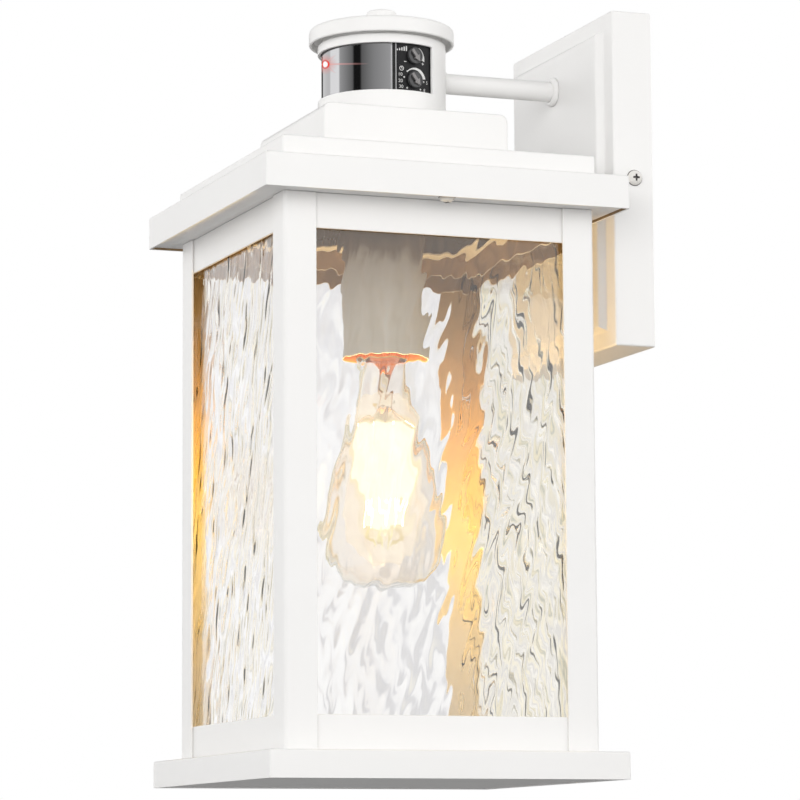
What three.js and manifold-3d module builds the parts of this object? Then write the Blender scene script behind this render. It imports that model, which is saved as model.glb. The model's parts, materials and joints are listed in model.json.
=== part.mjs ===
/**
 * Outdoor wall lantern with a motion-sensor head, as an assembly of separate pieces.
 *
 * Millimetres. The origin lies on the wall, at the middle of the wall plate: +Z is up, -Y points out of
 * the wall and +X is to the right of someone who faces the wall. Everything that stands on the lantern's
 * own vertical axis is built in a group whose origin is on that axis, at the same height.
 */
import * as THREE from 'three';
import { mergeVertices } from 'three/addons/utils/BufferGeometryUtils.js';
import Module from 'manifold-3d';

const wasm = await Module();
wasm.setup();

// ---- Clearances and stock -------------------------------------------------------------------------
const SEAT = 0.1; // between pieces that are seated, clamped or welded together
const SLIP = 0.3; // round a piece that passes through another, or moves past it
const SHEET = 1.2; // folded steel sheet of the wall plate, roof and cage
const EDGE_R = 0.7; // rounding of a folded sheet's outer edge
const CORNER_R = 1.3; // rounding of a folded tray's upright corners
const ROUND = 48; // facets round the large turned pieces
const MEDIUM = 20; // facets round the middle-sized turned pieces
const SMALL = 12; // facets round rods, screws and holes

// ---- Wall plate and its bracket -------------------------------------------------------------------
const PLATE_HALF_W = 61.2;
const PLATE_HALF_H = 81.2;
const PLATE_DEPTH = 20.3;
const PANEL_SIDE_MARGIN = 9.4; // plate's sides to the foot of the raised front panel
const PANEL_END_MARGIN = 8.4; // plate's top and bottom to that foot
const PANEL_SLOPE = 2.6; // width of its sloped border
const PANEL_RAISE = 4.2;
const BRACKET_T = 1.8;
const BRACKET_HALF_H = 10;
const BRACKET_LUG = 16; // how far the bent lugs stand off the wall
const BRACKET_SOLID_HALF = 22; // unslotted middle of the crossbar
const SLOT_LENGTH = 28;
const SLOT_R = 2.3;
const SIDE_SCREW_DEPTH = 9.5; // side screws, measured out from the wall
const SIDE_SCREW_HEAD_R = 3.9;
const SIDE_SCREW_HEAD_H = 2.6;
const SIDE_SCREW_R = 2;
const SIDE_SCREW_LENGTH = 8;
const GROUND_SCREW_X = 15;
const GROUND_SCREW_HEAD_R = 3;
const GROUND_SCREW_HEAD_H = 2;
const GROUND_SCREW_R = 1.4;

// ---- Arm ------------------------------------------------------------------------------------------
const ROOF_TO_PLATE = 0.6; // roof's back edge in front of the wall plate
const ARM_Z = 53.3;
const ARM_R = 5;
const ARM_BORE_R = 3.6;
const ARM_TAIL = 8; // threaded length inside the wall plate, and inside the sensor head
const ARM_NUT_T = 4;
const ARM_NUT_R = 8.1; // corner radius of the hex nuts
const COLLAR_R = 7.2;
const COLLAR_T = 2.4;
const HEAD_COLLAR_R = 6.2;
const HEAD_COLLAR_T = 1.6;
const LEAD_R = 1;
const LEAD_SPREAD = 1.7; // each lead's distance from the middle of the arm's bore
const LEAD_END_DEPTH = 10; // free ends of live and neutral, measured out from the wall

// ---- Sensor head ----------------------------------------------------------------------------------
const HEAD_R = 31;
const HEAD_WALL = 1.5;
const HEAD_FLOOR = 2;
const ARM_ABOVE_HEAD_FLOOR = 23.7; // arm's axis above the underside of the head
const WINDOW_ABOVE_FLOOR = 12; // window's lower edge above the underside of the head
const WINDOW_H = 22.9;
const LINTEL_H = 4.4; // drum above the window
const WINDOW_FROM = -80; // degrees round the head, 0 at the front, positive towards +X
const WINDOW_TO = 122;
const PANEL_FROM = 80; // where the lens ends and the control panel begins
const PANEL_TUCK = 3; // degrees that lens and panel run on behind the drum
const GLAZING_TUCK = 1.5; // height that lens and panel run on behind the drum
const LENS_T = 1.4;
const CONTROL_PANEL_T = 2;
const BOARD_LEDGE = 3.4; // height of the ledge inside the drum that carries the circuit board
const BOARD_LEDGE_W = 2.7;
const BOARD_T = 1.6;
const BOARD_HOLE_R = 14; // clears the rod's nut and the lamp leads
const CAP_OVERHANG = 4.2; // cap past the drum
const CAP_RIM_H = 7.9;
const CAP_RIM_ROUND = 2.3;
const CAP_DOME_H = 3;
const CAP_SPIGOT_H = 2.6;
const FINIAL_R = 7.3;
const FINIAL_H = 6.4;
const FINIAL_BORE_DEPTH = 4.2;
const ROD_R = 3;
const ROD_NUT_R = 5.8;
const ROD_NUT_T = 4;

// ---- Controls and electronics inside the head -----------------------------------------------------
const KNOB_AZIMUTH = 100.3;
const SENS_BELOW_LINTEL = 5.6;
const TIME_ABOVE_SILL = 5.6;
const KNOB_R = 4;
const KNOB_T = 1.5;
const POINTER_H = 0.7;
const POINTER_ANGLE = -52.5; // where both pointers stand, anticlockwise from the right
const KNOB_SHAFT_R = 1.5;
const KNOB_SHAFT_LENGTH = 7;
const POT_HALF = 4.2;
const POT_T = 5;
const PIR_R = 4.6;
const PIR_ABOVE_SILL = 6;
const PIR_T = 4.5;
const LED_R = 1.5;
const LED_BELOW_LINTEL = 5;
const LED_LENGTH = 5;
const RELAY_W = 15;
const RELAY_T = 10;
const RELAY_H = 16;

// ---- Roof -----------------------------------------------------------------------------------------
const UPPER_HALF = 46.6;
const UPPER_H = 23.9;
const UPPER_BEND_R = 4; // bend between its top and its front and back
const MIDDLE_HALF = 77.8;
const MIDDLE_H = 10.7;
const EAVE = 13.1; // roof past the corner posts
const ROOF_H = 15.8;
const LEAD_HOLE_R = 5.4; // hole through roof and head for the lamp's two leads
const LEAD_HOLE_Y = 8.6; // its distance in front of the rod

// ---- Lampholder and sleeve ------------------------------------------------------------------------
const SLEEVE_R = 19.8;
const SLEEVE_RIM_BELOW_ROOF = 63.2; // sleeve's lower rim, below the lower edge of the roof
const STRAP_T = 1.5;
const STRAP_HALF_W = 6;
const HOLDER_NECK_R = 11.5;
const HOLDER_NECK_H = 14;
const HOLDER_R = 17.2;
const HOLDER_RIM_ABOVE_SLEEVE = 4; // holder's lower rim above the sleeve's rim
const SHELL_H = 22.5;
const SHELL_T = 0.6;
const SHELL_R = 13.3; // inside radius of the threaded shell
const LAMP_LEAD_R = 1.2;
const LAMP_LEAD_X = 2.4;

// ---- Bulb -----------------------------------------------------------------------------------------
const BULB_LENGTH = 134; // contact to tip
const BULB_R = 29;
const BULB_GLASS_T = 0.9;
const BULB_NECK_R = 11.7;
const BULB_CAP_R = 12.9; // over the thread's crests
const BULB_THREAD_DEPTH = 0.5;
const BULB_CAP_H = 25; // contact to the cap's lower rim
const BULB_NECK_TUCK = 10; // length of neck held in the cap
const THREAD_PITCH = 3.63;
const CONTACT_R = 4.2;
const CONTACT_H = 1.6;
const STEM_R = 2;
const FILAMENT_STRANDS = 6;
const FILAMENT_TOP = 56; // below the contact
const FILAMENT_BOTTOM = 105;
const FILAMENT_TOP_R = 6;
const FILAMENT_BOTTOM_R = 13;
const FILAMENT_R = 0.7;

// ---- Glazed cage ----------------------------------------------------------------------------------
const CAGE_HALF = 76.9;
const POST_W = 15.7;
const POST_BEND_R = 2;
const TOP_RAIL_SHOWN = 15.6; // rail that shows below the roof's lower edge
const OPENING_H = 221.4; // glass that shows between the rails
const BOTTOM_RAIL_H = 16;
const GLASS_T = 3;
const CHANNEL_LIP_H = 10;
const SOFFIT_INSET = 0.9; // soffit plate above the roof's lower edge
const SOFFIT_GAP = 0.6; // between soffit plate and the roof's skirt
const SOFFIT_LEDGE = 15.6; // soffit plate inside the posts' outer faces
const SOFFIT_SCREW_INSET = 5.8; // from the roof's outer face
const SOFFIT_SCREW_HEAD_R = 3.9;
const SOFFIT_SCREW_HEAD_H = 2.7;
const SOFFIT_SCREW_R = 1.75;
const SOFFIT_SCREW_LENGTH = 10;
const BOSS_T = 1.5;
const BOSS_REACH = 9;
const BOSS_HALF_W = 7;
const BOSS_H = 8;
const BASE_LEDGE = 10.7; // base past the corner posts
const BASE_H = 12.8;
const BASE_PLATE_INSET = 0.5;
const DRAIN_HOLE_R = 2.5;
const DRAIN_HOLE_INSET = 30; // from the base's outer faces

// ---- Heights that follow from the sizes above -----------------------------------------------------
const HEAD_Z0 = ARM_Z - ARM_ABOVE_HEAD_FLOOR;
const WINDOW_Z0 = HEAD_Z0 + WINDOW_ABOVE_FLOOR;
const WINDOW_Z1 = WINDOW_Z0 + WINDOW_H;
const HEAD_Z1 = WINDOW_Z1 + LINTEL_H;
const SENS_Z = WINDOW_Z1 - SENS_BELOW_LINTEL;
const TIME_Z = WINDOW_Z0 + TIME_ABOVE_SILL;
const BOARD_Z0 = HEAD_Z0 + BOARD_LEDGE + SEAT;
const BOARD_Z1 = BOARD_Z0 + BOARD_T;
const CAP_Z0 = HEAD_Z1 + SLIP;
const CAP_Z1 = CAP_Z0 + CAP_RIM_H + CAP_DOME_H;
const UPPER_Z0 = HEAD_Z0 - UPPER_H;
const MIDDLE_Z0 = UPPER_Z0 - MIDDLE_H;
const ROOF_Z0 = MIDDLE_Z0 - ROOF_H;
const ROOF_INSIDE_Z = MIDDLE_Z0 - SHEET; // underside of the main tray's top
const SLEEVE_Z0 = ROOF_Z0 - SLEEVE_RIM_BELOW_ROOF;
const SLEEVE_Z1 = ROOF_INSIDE_Z - SEAT;
const STRAP_Z1 = SLEEVE_Z1 - SHEET - SEAT;
const HOLDER_Z0 = SLEEVE_Z0 + HOLDER_RIM_ABOVE_SLEEVE;
const SHELL_Z0 = HOLDER_Z0 + SEAT;
const SHELL_Z1 = SHELL_Z0 + SHELL_H;
const HOLDER_SHOULDER_Z = SHELL_Z1 + 5 * SHEET;
const HOLDER_Z1 = HOLDER_SHOULDER_Z + HOLDER_NECK_H;
const HOLDER_CONTACT_Z = SHELL_Z1 - SHELL_T - CONTACT_H; // lampholder's contact, in the shell's hole
const BULB_Z1 = HOLDER_CONTACT_Z - SLIP; // top of the bulb's contact
const BULB_Z0 = BULB_Z1 - BULB_LENGTH;
const BULB_CAP_Z0 = BULB_Z1 - BULB_CAP_H;
const SOFFIT_Z0 = ROOF_Z0 + SOFFIT_INSET;
const CAGE_Z1 = SOFFIT_Z0 - SEAT; // top of posts and rails
const OPENING_Z1 = ROOF_Z0 - TOP_RAIL_SHOWN;
const OPENING_Z0 = OPENING_Z1 - OPENING_H;
const BASE_Z1 = OPENING_Z0 - BOTTOM_RAIL_H;
const BASE_Z0 = BASE_Z1 - BASE_H;

// ---- Half widths and radii that follow ------------------------------------------------------------
const PLATE_FRONT = PLATE_DEPTH + PANEL_RAISE; // front of the raised panel, from the wall
const PANEL_INSIDE = PLATE_FRONT - SHEET; // its inner face
const PANEL_HALF_W = PLATE_HALF_W - PANEL_SIDE_MARGIN; // foot of the raised panel
const PANEL_HALF_H = PLATE_HALF_H - PANEL_END_MARGIN;
const ROOF_HALF = CAGE_HALF + EAVE;
const BASE_HALF = CAGE_HALF + BASE_LEDGE;
const SOFFIT_OPEN_HALF = CAGE_HALF - SOFFIT_LEDGE;
const REACH = PLATE_FRONT + ROOF_TO_PLATE + ROOF_HALF; // wall to the lantern's axis
const CAP_R = HEAD_R + CAP_OVERHANG;
const DRUM_INNER_R = HEAD_R - HEAD_WALL;
const GLAZING_R = DRUM_INNER_R - SLIP; // outside of lens and control panel
const RAIL_HALF = CAGE_HALF - SHEET - SEAT;
const GLASS_HALF = RAIL_HALF - SHEET - SLIP; // outer face of the panes
const LIP_HALF = GLASS_HALF - GLASS_T - SLIP; // outer face of the channels' inner lips
const SKIRT_HALF = ROOF_HALF - SHEET; // inside of the roof's skirt
const SOFFIT_SCREW_X = ROOF_HALF - SOFFIT_SCREW_INSET;

// ---- Finishes -------------------------------------------------------------------------------------
const FINISH = {
  white: { color: 0xf1f1f0, roughness: 0.38, metalness: 0.1 },
  zinc: { color: 0xb9bcc0, roughness: 0.4, metalness: 0.9 },
  brass: { color: 0xb8924a, roughness: 0.35, metalness: 0.95 },
  green: { color: 0x2f8a45, roughness: 0.5, metalness: 0.3 },
  lens: { color: 0x101012, roughness: 0.06, metalness: 0 },
  panel: { color: 0x18181a, roughness: 0.35, metalness: 0 },
  knob: { color: 0x141416, roughness: 0.3, metalness: 0 },
  board: { color: 0x1f6b3a, roughness: 0.5, metalness: 0.1 },
  relay: { color: 0x2456a8, roughness: 0.4, metalness: 0 },
  led: { color: 0xff2a1a, roughness: 0.2, metalness: 0 },
  blackWire: { color: 0x151515, roughness: 0.5, metalness: 0 },
  whiteWire: { color: 0xe8e8e6, roughness: 0.5, metalness: 0 },
  greenWire: { color: 0x2c7d3c, roughness: 0.5, metalness: 0 },
  porcelain: { color: 0xe9e4d8, roughness: 0.25, metalness: 0 },
  sleeve: { color: 0xd8d3c8, roughness: 0.42, metalness: 0.1 },
  glass: { color: 0xf4f6f6, roughness: 0.05, metalness: 0 },
  filament: { color: 0xffb347, roughness: 0.4, metalness: 0 },
};

// ---- Geometry helpers -----------------------------------------------------------------------------

/** A manifold solid from a closed three.js geometry. */
function solidOf(geometry) {
  const bare = geometry.clone();
  bare.deleteAttribute('normal');
  bare.deleteAttribute('uv');
  const merged = mergeVertices(bare);
  const mesh = new wasm.Mesh({
    numProp: 3,
    vertProperties: Float32Array.from(merged.attributes.position.array),
    triVerts: Uint32Array.from(merged.index.array),
  });
  return new wasm.Manifold(mesh);
}

/** A three.js geometry from a manifold solid. */
function geometryOf(solid) {
  const mesh = solid.getMesh();
  const geometry = new THREE.BufferGeometry();
  geometry.setAttribute('position', new THREE.BufferAttribute(mesh.vertProperties, 3));
  geometry.setIndex(new THREE.BufferAttribute(mesh.triVerts, 1));
  geometry.computeVertexNormals();
  return geometry;
}

function cut(body, ...tools) {
  return geometryOf(tools.reduce((rest, tool) => rest.subtract(solidOf(tool)), solidOf(body)));
}

function join(first, ...others) {
  return geometryOf(others.reduce((whole, other) => whole.add(solidOf(other)), solidOf(first)));
}

function block(x0, x1, y0, y1, z0, z1) {
  const box = new THREE.BoxGeometry(x1 - x0, y1 - y0, z1 - z0);
  return box.translate((x0 + x1) / 2, (y0 + y1) / 2, (z0 + z1) / 2);
}

/** A block centred on the Z axis, square in plan. */
function squareBlock(half, z0, z1) {
  return block(-half, half, -half, half, z0, z1);
}

/** A solid turned about Z from [radius, z] points that start and end on the axis. */
function turned(profile, facets = ROUND) {
  const points = profile.map(([r, z]) => new THREE.Vector2(r, z));
  return new THREE.LatheGeometry(points, facets).rotateX(Math.PI / 2);
}

/** A ring turned about Z from [radius, z] points, anticlockwise round the ring's section. */
function turnedRing(section, facets = ROUND) {
  return turned([...section, section[0]], facets);
}

/** A square ring with mitred corners, from [half width, z] points. */
function squareRing(section) {
  const points = [...section, section[0]].map(([half, z]) => new THREE.Vector2(half * Math.SQRT2, z));
  return new THREE.LatheGeometry(points, 4, Math.PI / 4).rotateX(Math.PI / 2);
}

/** A round bar along Z. */
function bar(radius, z0, z1, facets = SMALL) {
  const cylinder = new THREE.CylinderGeometry(radius, radius, z1 - z0, facets);
  return cylinder.rotateX(Math.PI / 2).translate(0, 0, (z0 + z1) / 2);
}

/** What a drill of this radius takes out: its flats clear a round bar of the same radius. */
function drill(radius, z0, z1, facets = SMALL) {
  return bar(radius / Math.cos(Math.PI / facets), z0, z1, facets);
}

/** Points of an arc from one angle to another, in degrees, both ends included. */
function arcPoints(cx, cy, radius, from, to, steps) {
  const points = [];
  for (let i = 0; i <= steps; i += 1) {
    const angle = THREE.MathUtils.degToRad(from + ((to - from) * i) / steps);
    points.push([cx + radius * Math.cos(angle), cy + radius * Math.sin(angle)]);
  }
  return points;
}

function shapeOf(points) {
  return new THREE.Shape(points.map(([x, y]) => new THREE.Vector2(x, y)));
}

function roundedRectangle(halfX, halfY, radius, steps = 3) {
  const x = halfX - radius;
  const y = halfY - radius;
  return shapeOf([
    ...arcPoints(x, -y, radius, -90, 0, steps),
    ...arcPoints(x, y, radius, 0, 90, steps),
    ...arcPoints(-x, y, radius, 90, 180, steps),
    ...arcPoints(-x, -y, radius, 180, 270, steps),
  ]);
}

/** A shape extruded along Z. */
function prism(shape, z0, z1) {
  const options = { depth: z1 - z0, bevelEnabled: false };
  return new THREE.ExtrudeGeometry(shape, options).translate(0, 0, z0);
}

/** A slab with rounded upright corners and rounded top and bottom edges. */
function softSlab(halfX, halfY, z0, z1) {
  const shape = roundedRectangle(halfX - EDGE_R, halfY - EDGE_R, CORNER_R - EDGE_R);
  const options = {
    depth: z1 - z0 - 2 * EDGE_R,
    bevelThickness: EDGE_R,
    bevelSize: EDGE_R,
    bevelSegments: 2,
  };
  return new THREE.ExtrudeGeometry(shape, options).translate(0, 0, z0 + EDGE_R);
}

/** A square tray of folded sheet: closed on top, open below. */
function tray(half, z0, z1) {
  const outside = softSlab(half, half, z0 - 2 * EDGE_R, z1);
  const below = squareBlock(half + SHEET, z0 - 3 * EDGE_R, z0);
  const hollow = squareBlock(half - SHEET, z0 - SHEET, z1 - SHEET);
  return cut(outside, below, hollow);
}

/** Turns a geometry drawn as (across, up, out) so that it stands on the wall: out becomes -Y. */
function onWall(geometry) {
  return geometry.rotateX(Math.PI / 2);
}

/** A pie slice of a ring about Z, between two angles measured from the front towards +X. */
function ringSector(innerR, outerR, z0, z1, from, to) {
  const steps = Math.max(2, Math.round(((to - from) / 360) * ROUND));
  const outer = arcPoints(0, 0, outerR, from - 90, to - 90, steps);
  const inner = arcPoints(0, 0, innerR, to - 90, from - 90, steps);
  return prism(shapeOf([...outer, ...inner]), z0, z1);
}

/** A hexagon nut round the Z axis. */
function hexNut(cornerR, boreR, z0, z1) {
  const hexagon = new THREE.CylinderGeometry(cornerR, cornerR, z1 - z0, 6).rotateX(Math.PI / 2);
  return cut(hexagon.translate(0, 0, (z0 + z1) / 2), drill(boreR, z0 - SHEET, z1 + SHEET, MEDIUM));
}

/** A pan-head screw along Z: its head stands on z = 0 and its shank points down. */
function panScrew(headR, headH, shankR, length) {
  const crown = arcPoints(0, 0, 1, 25, 65, 1).map(([x, y]) => [headR * x, headH * y]);
  const body = turned([[0, -length], [shankR, -length], [shankR, 0], [headR, 0], ...crown, [0, headH]], 16);
  const arm = headR * 0.55;
  const slot = headR * 0.14;
  const floor = headH * 0.35;
  const recess = block(-arm, arm, -slot, slot, floor, 2 * headH);
  return cut(body, recess, recess.clone().rotateZ(Math.PI / 2));
}

/** A round wire along a smooth curve through points. */
function wire(points, radius, steps) {
  const section = shapeOf(arcPoints(0, 0, radius, 0, 315, 7));
  const extrudePath = new THREE.CatmullRomCurve3(points.map((p) => new THREE.Vector3(...p)));
  return new THREE.ExtrudeGeometry(section, { steps, extrudePath, bevelEnabled: false });
}

// ---- Assembly helpers -----------------------------------------------------------------------------

/** A named piece with a material of its own. */
function piece(name, geometry, finish) {
  const mesh = new THREE.Mesh(geometry, new THREE.MeshStandardMaterial(FINISH[finish]));
  mesh.name = name;
  return mesh;
}

/** Puts children in a group at a place. */
function place(x, y, z, ...children) {
  const group = new THREE.Group();
  group.position.set(x, y, z);
  group.add(...children);
  return group;
}

/** Holes for the rod and the two lamp leads, through everything between two heights. */
function stackHoles(z0, z1) {
  const rodHole = drill(ROD_R + SLIP, z0 - SHEET, z1 + SHEET);
  const leadHole = drill(LEAD_HOLE_R, z0 - SHEET, z1 + SHEET).translate(0, -LEAD_HOLE_Y, 0);
  return [rodHole, leadHole];
}

// ---- Wall side ------------------------------------------------------------------------------------

/** The raised front panel's form, its front face at a given distance from the wall. */
function panelForm(front) {
  const shape = roundedRectangle(PANEL_HALF_W - PANEL_SLOPE, PANEL_HALF_H - PANEL_SLOPE, CORNER_R);
  const options = { depth: SHEET, bevelThickness: PANEL_RAISE, bevelSize: PANEL_SLOPE, bevelSegments: 1 };
  return new THREE.ExtrudeGeometry(shape, options).translate(0, 0, front - PANEL_RAISE - SHEET);
}

/** One drilling for both side screws, right across the wall plate. */
function sideScrewHole() {
  const hole = drill(SIDE_SCREW_R + SLIP, -2 * PLATE_HALF_W, 2 * PLATE_HALF_W);
  return hole.rotateY(Math.PI / 2).translate(0, 0, SIDE_SCREW_DEPTH);
}

function wallPlate() {
  const pan = softSlab(PLATE_HALF_W, PLATE_HALF_H, -2 * EDGE_R, PLATE_DEPTH);
  const outside = join(pan, panelForm(PLATE_FRONT));
  const w = PLATE_HALF_W - SHEET;
  const h = PLATE_HALF_H - SHEET;
  const wall = block(-2 * w, 2 * w, -2 * h, 2 * h, -4 * EDGE_R, 0);
  const hollow = block(-w, w, -h, h, -SHEET, PLATE_DEPTH - SHEET);
  const armHole = drill(ARM_R + SLIP, 0, 2 * PLATE_FRONT).translate(0, ARM_Z, 0);
  const screwHole = sideScrewHole();
  return onWall(cut(outside, wall, hollow, panelForm(PANEL_INSIDE), armHole, screwHole));
}

function mountingBracket() {
  const x = PLATE_HALF_W - SHEET - SLIP;
  const h = BRACKET_HALF_H;
  const strip = block(-x, x, -h, h, 0, BRACKET_T);
  const lugs = [-1, 1].map((side) => {
    const outer = side * x;
    const inner = side * (x - BRACKET_T);
    return block(Math.min(outer, inner), Math.max(outer, inner), -h, h, 0, BRACKET_LUG);
  });
  const slots = [-1, 1].map((side) => {
    const middle = side * (BRACKET_SOLID_HALF + SLOT_LENGTH / 2);
    const shape = roundedRectangle(SLOT_LENGTH / 2, SLOT_R, SLOT_R - SEAT, 4);
    return prism(shape, -BRACKET_T, 2 * BRACKET_T).translate(middle, 0, 0);
  });
  const screwHole = sideScrewHole();
  const groundHole = drill(GROUND_SCREW_R + SLIP, -BRACKET_T, 2 * BRACKET_T).translate(GROUND_SCREW_X, 0, 0);
  return onWall(cut(join(strip, ...lugs), ...slots, screwHole, groundHole));
}

function sideScrew() {
  return panScrew(SIDE_SCREW_HEAD_R, SIDE_SCREW_HEAD_H, SIDE_SCREW_R, SIDE_SCREW_LENGTH).rotateY(Math.PI / 2);
}

function groundScrew() {
  const screw = panScrew(GROUND_SCREW_HEAD_R, GROUND_SCREW_HEAD_H, GROUND_SCREW_R, BRACKET_T);
  return onWall(screw.translate(GROUND_SCREW_X, 0, BRACKET_T + SEAT));
}

function armTube() {
  const from = PANEL_INSIDE - ARM_TAIL;
  const to = REACH - DRUM_INNER_R + ARM_TAIL;
  return onWall(cut(bar(ARM_R, from, to, MEDIUM), drill(ARM_BORE_R, from - SHEET, to + SHEET)));
}

/** A collar with a rounded outer edge, from the wall side outwards. */
function collar(radius, z0, z1) {
  const round = (z1 - z0) * 0.4;
  const bore = ARM_R + SLIP;
  return turnedRing([
    [bore, z0],
    [radius, z0],
    ...arcPoints(radius - round, z1 - round, round, 0, 90, 3),
    [bore, z1],
  ], MEDIUM);
}

function armCollarWall() {
  const seat = PLATE_FRONT + SEAT;
  return onWall(collar(COLLAR_R, seat, seat + COLLAR_T));
}

/** The collar at the head, its flat face against the drum. */
function armCollarHead() {
  const drumBack = HEAD_R - REACH;
  return collar(HEAD_COLLAR_R, drumBack + SEAT, drumBack + HEAD_COLLAR_T).rotateX(-Math.PI / 2);
}

function armNut(from, to) {
  return onWall(hexNut(ARM_NUT_R, ARM_R + SEAT, from, to));
}

/**
 * A lead that lies in the arm's bore, at an angle round it, and hangs down inside the wall plate to its
 * end. Its drop points are [x, height above the arm's axis].
 */
function supplyLead(turn, drop, end) {
  const angle = THREE.MathUtils.degToRad(turn);
  const x = LEAD_SPREAD * Math.cos(angle);
  const z = ARM_Z + LEAD_SPREAD * Math.sin(angle);
  const head = -(REACH - DRUM_INNER_R + ARM_TAIL + 2 * SHEET);
  const mouth = -(PANEL_INSIDE - ARM_TAIL);
  const inBore = [0, 0.25, 0.5, 0.75, 1].map((t) => [x, head + (mouth - head) * t, z]);
  const outOfMouth = [x, mouth + 2 * LEAD_R, z];
  const hanging = drop.map(([across, up]) => [across, mouth + 5 * LEAD_R, ARM_Z + up]);
  return wire([...inBore, outOfMouth, ...hanging, end], LEAD_R, 26);
}

function wallSide() {
  const live = supplyLead(210, [[-4, -8], [-9, -22], [-12, -38], [-14, -60]], [-16, -LEAD_END_DEPTH, -30]);
  const neutral = supplyLead(330, [[2, -10], [2, -26], [4, -44], [7, -62]], [9, -LEAD_END_DEPTH, -30]);
  const groundTop = BRACKET_T + SEAT + GROUND_SCREW_HEAD_H + LEAD_R + SEAT;
  const earth = supplyLead(90, [[8, -3], [17, -14], [20, -34]], [GROUND_SCREW_X, -groundTop, 0]);
  const nutFront = PANEL_INSIDE - SEAT;
  const headNutFrom = REACH - Math.sqrt(DRUM_INNER_R ** 2 - ARM_NUT_R ** 2) + SEAT; // corners meet the drum
  const screwX = PLATE_HALF_W + SEAT;
  const leftScrew = piece('side_screw_left', sideScrew().rotateZ(Math.PI), 'zinc');
  return [
    piece('wall_plate', wallPlate(), 'white'),
    piece('mounting_bracket', mountingBracket(), 'zinc'),
    place(screwX, -SIDE_SCREW_DEPTH, 0, piece('side_screw_right', sideScrew(), 'zinc')),
    place(-screwX, -SIDE_SCREW_DEPTH, 0, leftScrew),
    piece('ground_screw', groundScrew(), 'green'),
    place(0, 0, ARM_Z,
      piece('arm_tube', armTube(), 'white'),
      piece('arm_collar_wall', armCollarWall(), 'white'),
      piece('arm_collar_head', armCollarHead(), 'white'),
      piece('arm_nut_wall', armNut(nutFront - ARM_NUT_T, nutFront), 'zinc'),
      piece('arm_nut_head', armNut(headNutFrom, headNutFrom + ARM_NUT_T), 'zinc')),
    piece('live_lead', live, 'blackWire'),
    piece('neutral_lead', neutral, 'whiteWire'),
    piece('earth_lead', earth, 'greenWire'),
  ];
}

// ---- Sensor head ----------------------------------------------------------------------------------

function sensorHousing() {
  const z0 = HEAD_Z0 + SEAT;
  const drum = turned([[0, z0], [HEAD_R, z0], [HEAD_R, HEAD_Z1], [DRUM_INNER_R, HEAD_Z1],
    [DRUM_INNER_R, HEAD_Z0 + BOARD_LEDGE], [DRUM_INNER_R - BOARD_LEDGE_W, HEAD_Z0 + BOARD_LEDGE],
    [DRUM_INNER_R - BOARD_LEDGE_W, HEAD_Z0 + HEAD_FLOOR], [0, HEAD_Z0 + HEAD_FLOOR]]);
  const window = ringSector(DRUM_INNER_R / 2, 2 * HEAD_R, WINDOW_Z0, WINDOW_Z1, WINDOW_FROM, WINDOW_TO);
  const armHole = drill(ARM_R + SLIP, 0, 2 * HEAD_R).rotateX(-Math.PI / 2).translate(0, 0, ARM_Z);
  return cut(drum, window, armHole, ...stackHoles(z0, HEAD_Z0 + HEAD_FLOOR));
}

/** Lens and control panel: curved walls behind the window, from one angle to another. */
function glazing(thickness, from, to) {
  const z0 = WINDOW_Z0 - GLAZING_TUCK;
  const z1 = WINDOW_Z1 + GLAZING_TUCK;
  return ringSector(GLAZING_R - thickness, GLAZING_R, z0, z1, from, to);
}

function sensorLens() {
  return glazing(LENS_T, WINDOW_FROM - PANEL_TUCK, PANEL_FROM);
}

/** A place on the head's side: z points out, y up and x to the right as seen from outside. */
function facing(azimuth, radius, z) {
  const angle = THREE.MathUtils.degToRad(azimuth);
  const out = new THREE.Vector3(Math.sin(angle), -Math.cos(angle), 0);
  const right = new THREE.Vector3(Math.cos(angle), Math.sin(angle), 0);
  const basis = new THREE.Matrix4().makeBasis(right, new THREE.Vector3(0, 0, 1), out);
  return basis.setPosition(out.x * radius, out.y * radius, z);
}

function controlPanel() {
  const hinge = THREE.MathUtils.radToDeg(SEAT / GLAZING_R);
  const wall = glazing(CONTROL_PANEL_T, PANEL_FROM + hinge, WINDOW_TO + PANEL_TUCK);
  const shaftHoles = [SENS_Z, TIME_Z].map((z) => {
    const hole = drill(KNOB_SHAFT_R + SLIP, -2 * CONTROL_PANEL_T, 2 * CONTROL_PANEL_T);
    return hole.applyMatrix4(facing(KNOB_AZIMUTH, GLAZING_R, z));
  });
  return cut(wall, ...shaftHoles);
}

/** A trimmer knob: a disc with a raised arrow, on a shaft that enters the potentiometer. */
function knob() {
  const body = turned([[0, -KNOB_SHAFT_LENGTH], [KNOB_SHAFT_R, -KNOB_SHAFT_LENGTH], [KNOB_SHAFT_R, 0],
    [KNOB_R, 0], [KNOB_R, KNOB_T - 0.3], [KNOB_R - 0.3, KNOB_T], [0, KNOB_T]], MEDIUM);
  const tip = KNOB_R * 0.86;
  const barb = KNOB_R * 0.42;
  const halfBar = KNOB_R * 0.19;
  const arrow = shapeOf([[-tip, -halfBar], [barb * 0.3, -halfBar], [barb * 0.3, -barb], [tip, 0],
    [barb * 0.3, barb], [barb * 0.3, halfBar], [-tip, halfBar]]);
  const pointer = prism(arrow, KNOB_T / 2, KNOB_T + POINTER_H);
  return join(body, pointer.rotateZ(THREE.MathUtils.degToRad(POINTER_ANGLE)));
}

/** A knob in its place on the control panel. */
function knobPiece(name, z) {
  const group = new THREE.Group();
  facing(KNOB_AZIMUTH, GLAZING_R + SLIP, z).decompose(group.position, group.quaternion, group.scale);
  group.add(piece(name, knob(), 'knob'));
  return group;
}

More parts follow.
